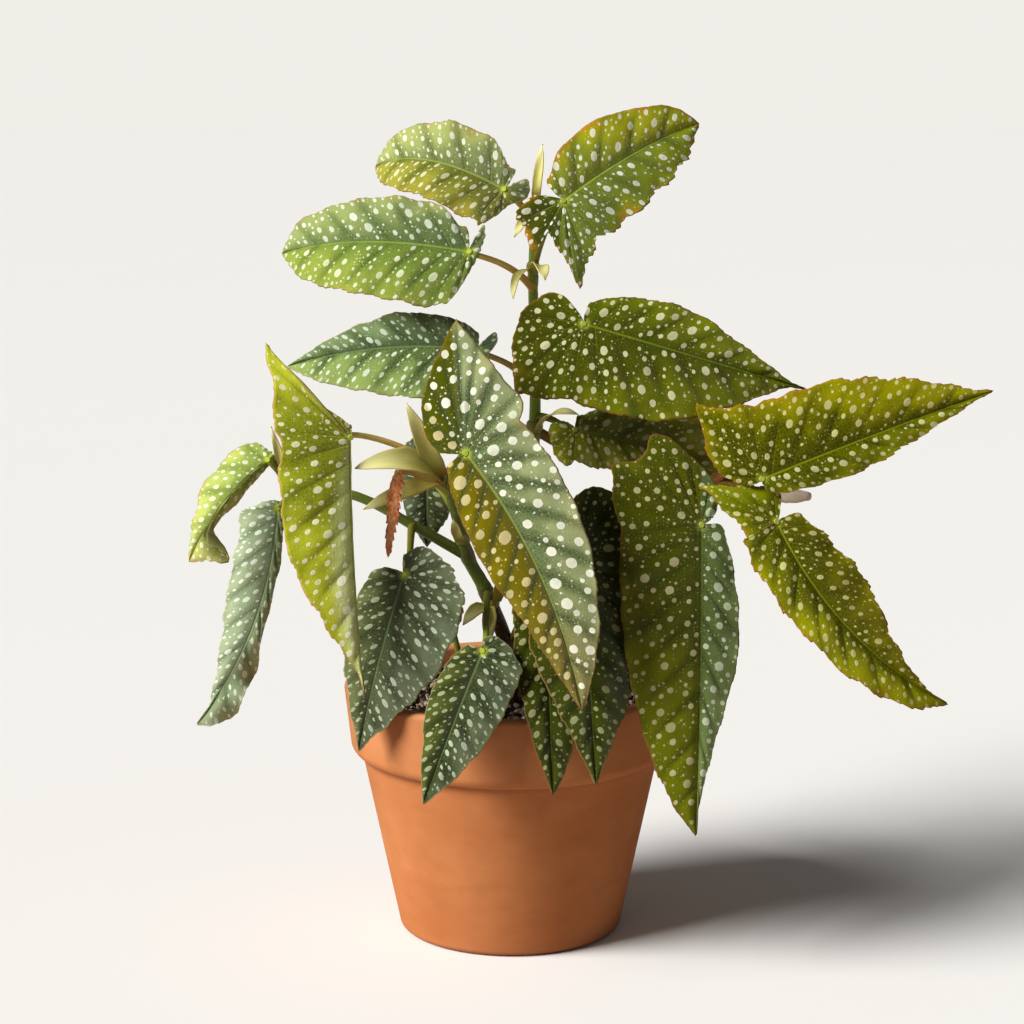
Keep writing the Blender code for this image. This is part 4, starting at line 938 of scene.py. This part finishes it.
canes = {
    "cane_tall": dict(
        axis=[(3, 11, 78), (4, 11, 121), (8, 11, 180), (11, 10, 237), (10, 8, 298), (12, 6, 330)],
        radius=(3.6, 1.9), joints=[128, 172, 226, 262, 295], node="cane_tall",
        low=(0.08, 0.075, 0.01), high=(0.25, 0.41, 0.03), turnsGreen=(112, 190),
    ),
    "branch_right": dict(
        axis=[(11, 11, 226), (34, 17, 213), (62, 14, 206), (90, -2, 206), (112, -14, 202)],
        radius=(2.4, 1.7), joints=[], node="cane_tall",
        low=(0.12, 0.16, 0.015), high=(0.3, 0.2, 0.03), turnsGreen=(0, 1),
    ),
    "cane_low": dict(
        axis=[
            (-1, -6, 78), (0, -6, 122), (-10, -12, 155), (-19, -16, 174), (-24, -22, 196), (-29, -27, 215),
        ],
        radius=(3.8, 2.5), joints=[131, 157, 175], node="cane_low",
        low=(0.05, 0.016, 0.006), high=(0.13, 0.19, 0.02), turnsGreen=(148, 160),
    ),
    "branch_left": dict(
        axis=[(-19, -16, 174), (-43, -21, 189), (-68, -26, 203), (-98, -30, 208)],
        radius=(2.5, 1.8), joints=[], node="cane_low",
        low=(0.12, 0.17, 0.015), high=(0.16, 0.22, 0.02), turnsGreen=(0, 1),
    ),
}
caneRules = {
    "jointSwell": 0.22, "jointReach": 4.5, "scarDip": (0.05, 1.2, 0.5), "relief": 0.12, "reliefLump": 5.0,
    "tipEnd": 0.6, "spacing": 1.0, "sides": 28, "scar": (0.16, 0.07, 0.025),
}


def caneSkin(name, cane):
    material, shader, start = startMaterial(name)
    place = objectPlace(start)
    height = parts(place)[2]
    stem = uvMap(start, "stem")
    lines = stem.moved((0, 0, 0), (0.1, 30, 1)).grain(1.0, 3.0)
    patches = place.grain(0.16, 3.0)
    low, high = cane["turnsGreen"]
    ground = (height + (patches - 0.5) * 26).rise(low, high).tint(cane["low"], cane["high"])
    ground = (lines.rise(0.4, 0.8) * 0.4).tint(ground, [c * 0.55 for c in cane["high"]])
    for joint in cane["joints"]:
        ring = (height - joint).size().fall(0.5, 3.4) * patches.rise(0.3, 0.6)
        ground = (ring * 0.75).tint(ground, caneRules["scar"])
    pores = spotLayer(stem.moved((0, 0, 0), (0.5, 22, 1)), 1.6, 0.42, 0.35, patches.rise(0.2, 0.5))
    ground = (pores * 0.5).tint(ground, (0.42, 0.4, 0.22))
    bark = lines * 0.25 + pores * 0.3 + place.grain(1.5) * 0.4
    finishSkin(shader, ground, 0.38 + patches * 0.15, bark, 0.35, 0.7)
    return material


def caneShape(cane):
    path = smoothPath([Vector(p) for p in cane["axis"]], caneRules["spacing"])
    foot, tip = cane["radius"]
    dip, dipAt, dipWidth = caneRules["scarDip"]
    radii = []
    for i, place in enumerate(path):
        plain = foot + (tip - foot) * i / (len(path) - 1)
        near = min((abs(place.z - z) for z in cane["joints"]), default=99)
        swell = caneRules["jointSwell"] * max(0.0, 1 - (near / caneRules["jointReach"]) ** 1.4)
        ringScar = dip * math.exp(-((near - dipAt) / dipWidth) ** 2)
        radii.append(plain * (1 + swell - ringScar))
    return path, radii


def makeCanes():
    for name, cane in canes.items():
        path, radii = caneShape(cane)
        radii[-1] *= caneRules["tipEnd"]
        bm = tubeMesh(
            path, radii, caneRules["sides"],
            lambda p, s: caneRules["relief"] * noise.noise(p / caneRules["reliefLump"]),
        )
        finishedPiece(name + "_bark", bm, [caneSkin(name + "_skin", cane)], cane["node"])


makeCanes()
print("canes made")


# Bracts, young leaf and bud

bractRules = {
    "blade": 0.4, "rows": 30, "columns": 12, "rootWidth": 0.57, "widening": 1.38, "pointing": 0.8,
    "ragged": 0.1, "cup": 0.22, "ripple": 0.25, "collarWall": 0.9, "collarLength": 5.0, "collarTaper": 0.8,
    "collarSteps": (-1.0, -0.8, -0.3, 0.3, 0.8, 1.0), "collarSides": 24, "rootDepth": 0.7,
}
bracts = {
    "bract_spike": dict(cane="cane_tall", at=(12, 6, 327), blades=[
        dict(tip=(14, 5, 354), half=2.9, faces=(-0.4, -1.0, 0.0), arch=1),
        dict(tip=(1.5, -6, 314), half=3.2, faces=(-0.3, -1.0, 0.1), arch=2),
    ]),
    "bracts_upper": dict(cane="cane_tall", at=(10, 8, 300), blades=[
        dict(tip=(1, -12, 288), half=3.6, faces=(-0.6, -0.6, 0.7), arch=4),
        dict(tip=(15, -14, 296), half=4.6, faces=(0.3, -0.9, 0.5), arch=4),
    ]),
    "bracts_middle": dict(cane="cane_tall", at=(11, 10, 228), blades=[
        dict(tip=(30, -14, 237), half=4.5, faces=(0.2, -0.6, 0.9), arch=4),
    ]),
    "bracts_flower": dict(cane="cane_low", at=(-28, -26, 212), blades=[
        dict(tip=(-66.5, -52, 220), half=8.8, faces=(0.1, -0.8, 0.8), arch=9),
        dict(tip=(-44.5, -45, 247), half=5.4, faces=(-0.1, -1.0, 0.3), arch=3),
        dict(tip=(-64, -37, 199), half=5.0, faces=(0.0, -1.0, 0.4), arch=4),
    ]),
    "bract_joint": dict(cane="cane_low", at=(-21, -18, 183), blades=[
        dict(tip=(-25, -28, 193), half=3.2, faces=(-0.3, -1.0, 0.2), arch=1),
    ]),
    "bracts_low": dict(cane="cane_low", at=(-9, -12, 152), blades=[
        dict(tip=(-21, -30, 146), half=4.6, faces=(-0.3, -1.0, 0.5), arch=3),
        dict(tip=(-10, -32, 137), half=4.2, faces=(0.1, -1.0, 0.4), arch=3),
        dict(tip=(-4, -22, 169), half=3.6, faces=(0.3, -1.0, 0.2), arch=1),
    ]),
    "bract_far_left": dict(cane="branch_left", at=(-97, -30, 208), blades=[
        dict(tip=(-103, -40, 236), half=2.4, faces=(-0.2, -1.0, 0.2), arch=1),
    ]),
}
bud = dict(
    axis=[(109, -12, 202.5), (115, -16, 202), (122, -22, 202), (128, -26.5, 203), (131, -29, 203)],
    radii=[1.9, 2.7, 3.1, 2.9, 1.6], end=0.45, spacing=0.8, sides=24, relief=0.2, reliefLump=3.0,
)


def bractSkin(name, low, high, line, foot):
    material, shader, start = startMaterial(name)
    reach = uvMap(start, "reach")
    along, across, _ = parts(reach)
    lines = reach.moved((0, 0, 0), (0.6, 11, 1)).grain(1.0, 2.0)
    patches = reach.moved((3, 8, 0), (2.5, 1.5, 1)).grain(1.0, 3.0)
    ground = (along * 0.8 + (patches - 0.5) * 0.8).rise(0.05, 1.0).tint(low, high)
    ground = (lines.rise(0.42, 0.7) * 0.45).tint(ground, line)
    ground = (across.size().rise(0.8, 1.0) * 0.4).tint(ground, (0.5, 0.3, 0.14))
    ground = (along.fall(0.02, 0.22) * 0.8).tint(ground, foot)
    finishSkin(shader, ground, 0.5 + lines * 0.1, lines * 0.3 + patches * 0.3, 0.4, 0.7)
    return material


def makeBractBlade(name, blade, root, material, node):
    tip, facing = Vector(blade["tip"]), Vector(blade["faces"])
    run = (tip - root).normalized()
    up = (facing - run * facing.dot(run)).normalized()
    out = up.cross(run)
    rows, columns = bractRules["rows"], bractRules["columns"]
    bm, cells = sheetGrid(rows + 1, columns)
    reach = []
    for vertex, (row, column) in zip(bm.verts, cells):
        t, across = row / rows, column / columns * 2 - 1
        half = blade["half"] * (bractRules["rootWidth"] + bractRules["widening"] * t)
        half *= max(0.0, 1 - t) ** bractRules["pointing"]
        tear = noise.noise(Vector((t * 7, math.copysign(3, across), blade["half"])))
        ragged = 1 + bractRules["ragged"] * tear
        rise = blade["arch"] * 4 * t * (1 - t) + half * bractRules["cup"] * across ** 2
        rise += bractRules["ripple"] * math.sin(t * 9 + across * 2)
        vertex.co = (root.lerp(tip, t) + out * half * ragged * across + up * rise) * mm
        reach.append((t, across))
    layMaps(bm, {"reach": reach})
    closeSheet(bm, facing)
    thicken(finishedPiece(name, bm, [material], node), bractRules["blade"], underside=0)


def makeBracts():
    # pale papery bracts whose high colour runs paler than their own tone, to stand for light shining through
    # them: a painted glow
    paperyWithGlow = ((0.6, 0.56, 0.12), (0.85, 0.82, 0.4), (0.58, 0.58, 0.16))
    pale = bractSkin("bract_skin", *paperyWithGlow, (0.5, 0.44, 0.1))
    tanned = bractSkin("flower_bract_skin", *paperyWithGlow, (0.5, 0.26, 0.07))
    collarSkin = stemSkin("bract_collar_skin", (0.3, 0.3, 0.06), (0.4, 0.42, 0.12), (0.24, 0.15, 0.05), 5)
    for name, cluster in bracts.items():
        path, radii = caneShape(canes[cluster["cane"]])
        place = Vector(cluster["at"])
        at = min(range(len(path)), key=lambda i: (path[i] - place).length)
        run = (path[min(at + 1, len(path) - 1)] - path[at - 1]).normalized()
        reach = radii[at] + bractRules["collarWall"]
        half, steps = bractRules["collarLength"] / 2, bractRules["collarSteps"]
        collarPath = [path[at] + run * half * s for s in steps]
        collarRadii = [reach - bractRules["collarTaper"] * abs(s) ** 3 for s in steps]
        bm = tubeMesh(collarPath, collarRadii, bractRules["collarSides"])
        finishedPiece(name + "_collar", bm, [collarSkin], name)
        for number, blade in enumerate(cluster["blades"]):
            lean = Vector(blade["tip"]) - path[at]
            lean -= run * lean.dot(run)
            if lean.length < 2 * reach:
                lean = Vector(blade["faces"]) - run * run.dot(Vector(blade["faces"]))
            root = path[at] + lean.normalized() * (reach - bractRules["rootDepth"])
            skin = tanned if name == "bracts_flower" else pale
            makeBractBlade(f"{name}_{number + 1}", blade, root, skin, name)


makeBracts()


def makeBud():
    axis = smoothPath([Vector(p) for p in bud["axis"]], bud["spacing"])
    knots = bud["radii"]
    radii = []
    for i in range(len(axis)):
        at = i / (len(axis) - 1) * (len(knots) - 1)
        low = min(int(at), len(knots) - 2)
        radii.append(knots[low] + (knots[low + 1] - knots[low]) * (at - low))
    radii[-1] *= bud["end"]
    bm = tubeMesh(
        axis, radii, bud["sides"], lambda p, s: bud["relief"] * noise.noise(p / bud["reliefLump"])
    )
    skin = stemSkin("bud_skin", (0.7, 0.64, 0.38), (0.86, 0.76, 0.62), (0.74, 0.56, 0.4), 20)
    finishedPiece("bud_scales", bm, [skin], "bud")


makeBud()
print("bracts and bud made")

youngLeaf = dict(
    leafDefaults, base=(-49, -42, 215), tip=(-53, -44, 179), faces=(-0.1, -1.0, 0.1), wing=1,
    wide=3.9, narrow=3.2, shoulder=[(3.2, 100)], point=(3.2, 130), heel=[(3.0, 160), (2.4, 200)],
    bow=1, fold=6, full=0.5, slot="young_leaf", stalk=(-26, -24, 203),
    columns=10, sawPitch=3.4, sawDepth=0.45, crumple=1.3, blade=0.8,
    stalkColours=((0.4, 0.42, 0.1), (0.5, 0.3, 0.08), (0.4, 0.2, 0.05)), stalkLength=28,
)


def youngSkin():
    material, shader, start = startMaterial("young_leaf_skin")
    place = objectPlace(start)
    lumps = place.grain(0.7, 3.0, 0.6)
    height = parts(place)[2]
    ground = lumps.rise(0.35, 0.65).tint((0.93, 0.24, 0.07), (1.0, 0.55, 0.27))
    ground = (height.fall(182, 198) * 0.5).tint(ground, (0.66, 0.22, 0.12))
    pale = spotLayer(uvMap(start, "flat"), 3.0, 0.8, 0.5, lumps.rise(0.2, 0.5))
    ground = (pale * 0.8).tint(ground, (0.85, 0.62, 0.42))
    finishSkin(shader, ground, 0.6 + lumps * 0.2, lumps, 0.8)
    return material


def makeYoungLeaf():
    curve, length = midribCurve(youngLeaf)
    rows, tipRow = bladeRows(youngLeaf, length)
    lengths = pathLengths([outer.to_3d() for _, outer in rows])
    bm, cells = sheetGrid(len(rows), youngLeaf["columns"])
    flats = []
    for vertex, (row, column) in zip(bm.verts, cells):
        inner, outer = rows[row]
        share = column / youngLeaf["columns"]
        saw = abs(((lengths[row] - lengths[tipRow]) / youngLeaf["sawPitch"]) % 1.0 - 0.5) * 2
        flat = inner.lerp(outer, share * (1 - youngLeaf["sawDepth"] * saw * share ** 3))
        lift = youngLeaf["crumple"] * noise.noise(Vector((flat.x / 2.6, flat.y / 2.0, 4)))
        lift *= min(1.0, share * 3)
        vertex.co = bladePoint(youngLeaf, curve, length, flat, lift) * mm
        flats.append((flat.x, flat.y))
    layMaps(bm, {"flat": flats})
    bmesh.ops.remove_doubles(bm, verts=bm.verts, dist=mergeSheet * mm)
    piece = finishedPiece("young_leaf_blade", bm, [youngSkin()], "young_leaf")
    thicken(piece, youngLeaf["blade"], underside=0)
    stalkSkin = stemSkin("young_leaf_stalk_skin", *youngLeaf["stalkColours"], youngLeaf["stalkLength"])
    makeStalk("young_leaf", youngLeaf, stalkSkin)


makeYoungLeaf()
print("young leaf made")


# Pot

pot = {
    "height": 114.0, "footRadius": 50.6, "footEdge": 3.0, "collarHeight": 32.5, "collarTop": 75.0,
    "collarFoot": 72.2, "collarEdge": 6.0, "bodyTop": 67.0, "lipEdge": 2.5, "wall": 7.0, "floor": 8.0,
    "drain": 6.0, "drainEdge": 0.8, "swell": 0.16, "sides": 160,
}


def arc(corner, edge, start, end, steps):
    return [
        (corner[0] + edge * math.cos(math.radians(a)), corner[1] + edge * math.sin(math.radians(a)))
        for a in (start + (end - start) * i / steps for i in range(steps + 1))
    ]


def turned(profile, sides):  # a closed profile of (radius, height) spun round the pot's axis
    bm = bmesh.new()
    points = [bm.verts.new((r * mm, 0, z * mm)) for r, z in profile]
    edges = [bm.edges.new((a, b)) for a, b in zip(points, [*points[1:], points[0]])]
    bmesh.ops.spin(
        bm, geom=[*points, *edges], cent=(0, 0, 0), axis=(0, 0, 1), angle=math.tau, steps=sides,
        use_merge=True,
    )
    bmesh.ops.recalc_face_normals(bm, faces=bm.faces)
    return bm


def claySkin():
    material, shader, start = startMaterial("fired_clay")
    place = objectPlace(start)
    z = parts(place)[2]
    clouds = place.grain(0.02, 4.0, 0.6)
    blotches = place.moved((40, 9, 0), (1, 1, 2.2)).grain(0.055, 4.0)
    dust = place.grain(1.1, 4.0, 0.7)
    ground = clouds.rise(0.3, 0.7).tint((0.5, 0.178, 0.063), (0.57, 0.22, 0.082))
    ground = (blotches.rise(0.48, 0.75) * 0.3).tint(ground, (0.4, 0.125, 0.04))
    ground = (blotches.fall(0.2, 0.45) * 0.14).tint(ground, (0.66, 0.3, 0.14))
    ground = (dust.rise(0.6, 0.8) * 0.25).tint(ground, (0.36, 0.12, 0.045))
    ground = (dust.fall(0.2, 0.36) * 0.25).tint(ground, (0.76, 0.38, 0.2))
    # the collar paler than the body: a painted sheen
    ground = (z.rise(80.0, 96.0) * 0.14).tint(ground, (0.72, 0.36, 0.2))
    # paler over the top 3 mm of the rim
    paleRimTop = z.rise(pot["height"] - 3.0, pot["height"])
    ground = (paleRimTop * (0.3 + clouds * 0.3)).tint(ground, (0.74, 0.35, 0.17))
    # darker in a thin band under the collar's foot: painted shade in the crease
    creaseShade = (z - (pot["height"] - pot["collarHeight"] - 0.6)).size().fall(0.3, 2.0)
    ground = (creaseShade * 0.45).tint(ground, (0.36, 0.13, 0.06))
    damp = z.fall(2.0, 11.0) * clouds.rise(0.3, 0.6)
    ground = (damp * 0.4).tint(ground, (0.42, 0.17, 0.08))
    rings = (z * 4.2 + clouds * 5.0).sine()
    height = rings * 0.035 + dust * 0.22 + place.grain(3.2, 2.0) * 0.1
    finishSkin(shader, ground, 0.78 + dust * 0.15, height, 0.5, 0.5)
    shader.inputs["Specular IOR Level"].default_value = 0.3
    return material


def makePot():
    innerTop, innerFoot = pot["collarTop"] - pot["wall"], pot["footRadius"] - pot["wall"]
    collarLow = pot["height"] - pot["collarHeight"]
    lip, edge, drain, drainEdge = pot["lipEdge"], pot["collarEdge"], pot["drain"], pot["drainEdge"]
    profile = [
        *arc((innerTop + lip, pot["height"] - lip), lip, 180, 90, 8),
        *arc((pot["collarTop"] - lip, pot["height"] - lip), lip, 90, 0, 8),
        *arc((pot["collarFoot"] - edge, collarLow + edge), edge, 0, -75, 12),
        (pot["bodyTop"] + 0.9, collarLow + 0.1), (pot["bodyTop"], collarLow - 0.8),
        (pot["bodyTop"] - 0.7, collarLow - 4),
        *arc((pot["footRadius"] - pot["footEdge"], pot["footEdge"]), pot["footEdge"], -8, -90, 8),
        (drain + drainEdge, 0), (drain, drainEdge), (drain, pot["floor"] - drainEdge),
        (drain + drainEdge, pot["floor"]),
        (innerFoot - pot["footEdge"], pot["floor"]), (innerFoot + 1, pot["floor"] + pot["footEdge"]),
    ]
    bm = turned(profile, pot["sides"])
    for vertex in bm.verts:
        place = vertex.co / mm
        out = Vector((place.x, place.y, 0))
        if out.length > drain + 4 and place.z > 1:
            swell = pot["swell"] * noise.noise(Vector((place.x / 30, place.y / 30, place.z / 9)))
            vertex.co -= out.normalized() * abs(swell) * mm
    finishedPiece("clay_pot", bm, [claySkin()], "pot", sharp=60)


makePot()
print("pot made")


# Soil

soil = {
    "top": 104.2, "radius": 66.3, "rings": 34, "sides": 150, "relief": 2.2, "lump": 9.0,
    "chips": 560, "chipSizes": (1.5, 4.4), "chipTurn": 2.39996, "chipRim": 2.5, "chipJitter": 1.2,
    "rimDrop": 1.5, "wallGap": 0.3,
    "stems": [(3.5, 11), (-1, -6), (-17, -14)], "clearOfStems": 5.0,  # the canes and the basal leaf's stalk
}


def soilHeight(x, y):
    spot = Vector((x, y, 0)) / soil["lump"]
    return soil["top"] + soil["relief"] * (noise.noise(spot) + 0.55 * noise.noise(spot * 2.3))


def soilSkin():
    material, shader, start = startMaterial("damp_soil")
    place = objectPlace(start)
    crumbs = place.grain(0.55, 5.0, 0.7)
    ground = crumbs.rise(0.3, 0.75).tint((0.008, 0.006, 0.005), (0.06, 0.042, 0.03))
    finishSkin(shader, ground, 0.85 + crumbs * 0.1, crumbs + place.grain(2.0, 3.0) * 0.5, 2.0)
    return material


def chipSkin():
    material, shader, start = startMaterial("bark_and_grit")
    place = objectPlace(start)
    tone = place.grain(0.16, 1.0)
    fibres = place.moved((0, 0, 0), (1, 1, 4)).grain(0.9, 3.0)
    ground = place.node(
        "ShaderNodeValToRGB",
        {"stops": [(0.3, (0.04, 0.026, 0.018)), (0.42, (0.2, 0.13, 0.08)), (0.53, (0.46, 0.36, 0.26)),
                   (0.66, (0.72, 0.64, 0.52))]},
        {0: tone},
    )
    ground = (fibres.rise(0.4, 0.8) * 0.5).tint(ground, (0.03, 0.02, 0.015))
    finishSkin(shader, ground, 0.8 + fibres * 0.15, fibres, 0.8)
    return material


def makeSoil():
    bm, cells = sheetGrid(soil["rings"] + 1, soil["sides"])
    for vertex, (row, column) in zip(bm.verts, cells):
        reach, turn = soil["radius"] * row / soil["rings"], math.tau * column / soil["sides"]
        x, y = reach * math.cos(turn), reach * math.sin(turn)
        drop = soil["rimDrop"] * max(0.0, (reach - soil["radius"] + 4) / 4)
        vertex.co = (x * mm, y * mm, (soilHeight(x, y) - drop) * mm)
    bmesh.ops.remove_doubles(bm, verts=bm.verts, dist=mergeTube * mm)
    rim = [e for e in bm.edges if e.is_boundary]
    wall = bmesh.ops.extrude_edge_only(bm, edges=rim)["geom"]
    foot = [v for v in wall if isinstance(v, bmesh.types.BMVert)]
    floorRadius = pot["footRadius"] - pot["wall"] - pot["footEdge"] - soil["wallGap"]
    for vertex in foot:
        out = Vector((vertex.co.x, vertex.co.y, 0)).normalized() * (floorRadius * mm)
        vertex.co = (out.x, out.y, (pot["floor"] + soil["wallGap"]) * mm)
    bmesh.ops.holes_fill(bm, edges=[e for e in bm.edges if e.is_boundary], sides=soil["sides"] + 1)
    bmesh.ops.recalc_face_normals(bm, faces=bm.faces)
    finishedPiece("soil_plug", bm, [soilSkin()], "soil")


def makeChips():
    # bark, grit and pumice on top of the soil, by a rule with seeded noise for its draws
    bm = bmesh.new()
    stems = [Vector(stem) for stem in soil["stems"]]
    low, high = soil["chipSizes"]
    for i in range(soil["chips"]):
        turn, share = i * soil["chipTurn"], (i + 0.5) / soil["chips"]
        draw = noise.random_vector()
        reach = (soil["radius"] - soil["chipRim"]) * math.sqrt(share)
        x = reach * math.cos(turn) + draw.x * soil["chipJitter"]
        y = reach * math.sin(turn) + draw.y * soil["chipJitter"]
        if min((Vector((x, y)) - stem).length for stem in stems) < soil["clearOfStems"]:
            continue
        size = low + (high - low) * (0.5 + 0.5 * draw.z) ** 1.6
        chip = bmesh.ops.create_icosphere(bm, subdivisions=1, radius=size * 0.6 * mm)["verts"]
        bmesh.ops.scale(bm, vec=(1.25 + 0.5 * draw.x, 0.95, 0.62 + 0.25 * draw.y), verts=chip)
        for vertex in chip:
            vertex.co *= 1 + 0.3 * noise.noise(vertex.co / mm * 0.8 + draw * 40)
        spin = Euler((draw.x * 0.9, draw.y * 0.9, draw.z * 3.1)).to_matrix()
        bmesh.ops.rotate(bm, cent=(0, 0, 0), matrix=spin, verts=chip)
        place = (x * mm, y * mm, (soilHeight(x, y) + size * 0.12) * mm)
        bmesh.ops.translate(bm, vec=place, verts=chip)
    finishedPiece("soil_chips", bm, [chipSkin()], "soil", sharp=25)


noise.seed_set(11)
makeSoil()
makeChips()
print("soil made")


# Floor, light and camera

studio = {  # metres, watts and degrees
    "floorReach": 6.0, "floorHeight": -0.0004,
    "floorColour": (0.9, 0.895, 0.88), "floorShade": (0.8, 0.79, 0.77),
    "wallColour": (0.876, 0.855, 0.809), "ambient": 0.11, "mirrored": 0.07,
    "floorBounce": (0.5, 0.4, 0.3),  # what the floor throws back up, dimmer and warmer than it looks
    "keyFrom": (-0.92, -0.44, 0.7), "keyPower": 5.32, "keyAngle": 32.0, "keyColour": (1.0, 0.983, 0.955),
    "sheenPlace": (0.75, -1.0, 0.85), "sheenSize": 1.1, "sheenPower": 5.0, "sheenColour": (0.95, 0.98, 1.0),
    "aim": (-0.02, 0.0, 0.19), "cameraPlace": (-0.0323, -1.272, 0.438), "cameraPitch": 79.0, "lens": 101.95,
}


def makeFloor():
    bm = bmesh.new()
    bmesh.ops.create_grid(bm, x_segments=8, y_segments=8, size=studio["floorReach"])
    mesh = bpy.data.meshes.new("floor")
    bm.to_mesh(mesh)
    bm.free()
    material, shader, start = startMaterial("plain_floor")
    shade = start.node("ShaderNodeTexCoord", {}, {}, "Object").grain(3.0, 2.0)
    ground = (shade * 0.1).tint(studio["floorColour"], studio["floorShade"])
    bounced = start.node("ShaderNodeLightPath", {}, {}, "Is Diffuse Ray")
    feed(shader, {"Base Color": bounced.tint(ground, studio["floorBounce"])})
    shader.inputs["Roughness"].default_value = 0.75
    shader.inputs["Specular IOR Level"].default_value = 0.25
    mesh.materials.append(material)
    floor = linkedObject("floor", mesh)
    floor.location.z = studio["floorHeight"]


def makeLight(name, kind, place, power, colour, settings):
    lamp = bpy.data.lights.new(name, kind)
    lamp.energy, lamp.color = power, colour
    for key, value in settings.items():
        setattr(lamp, key, value)
    light = linkedObject(name, lamp)
    light.location = place
    light.rotation_euler = (Vector(studio["aim"]) - light.location).to_track_quat("-Z", "Y").to_euler()
    return light


def makeStudio():
    makeFloor()
    keyPlace = Vector(studio["aim"]) + Vector(studio["keyFrom"]) * 2
    keyShape = {"angle": math.radians(studio["keyAngle"])}
    key = makeLight("window", "SUN", keyPlace, studio["keyPower"], studio["keyColour"], keyShape)
    key.visible_glossy = False
    sheenShape = {"shape": "DISK", "size": studio["sheenSize"]}
    sheen = makeLight(
        "sheen", "AREA", studio["sheenPlace"], studio["sheenPower"], studio["sheenColour"], sheenShape
    )
    sheen.visible_diffuse = False
    world = bpy.data.worlds.new("studio")
    world.use_nodes = True
    tree = world.node_tree
    start = Wire(tree)
    seen = start.node("ShaderNodeLightPath", {}, {}, "Is Camera Ray")
    mirrored = seen.also("Is Glossy Ray")
    background = tree.nodes["Background"]
    background.inputs["Color"].default_value = (*studio["wallColour"], 1.0)
    lit = studio["ambient"] + mirrored * (studio["mirrored"] - studio["ambient"])
    feed(background, {"Strength": lit + seen * (1 - studio["ambient"])})
    bpy.context.scene.world = world
    camera = linkedObject("camera", bpy.data.cameras.new("camera"))
    camera.data.lens, camera.data.sensor_width = studio["lens"], 36.0
    camera.location = studio["cameraPlace"]
    camera.rotation_euler = (math.radians(studio["cameraPitch"]), 0, 0)
    bpy.context.scene.camera = camera
    bpy.context.scene.view_settings.view_transform = "Standard"


makeStudio()
print("studio made")
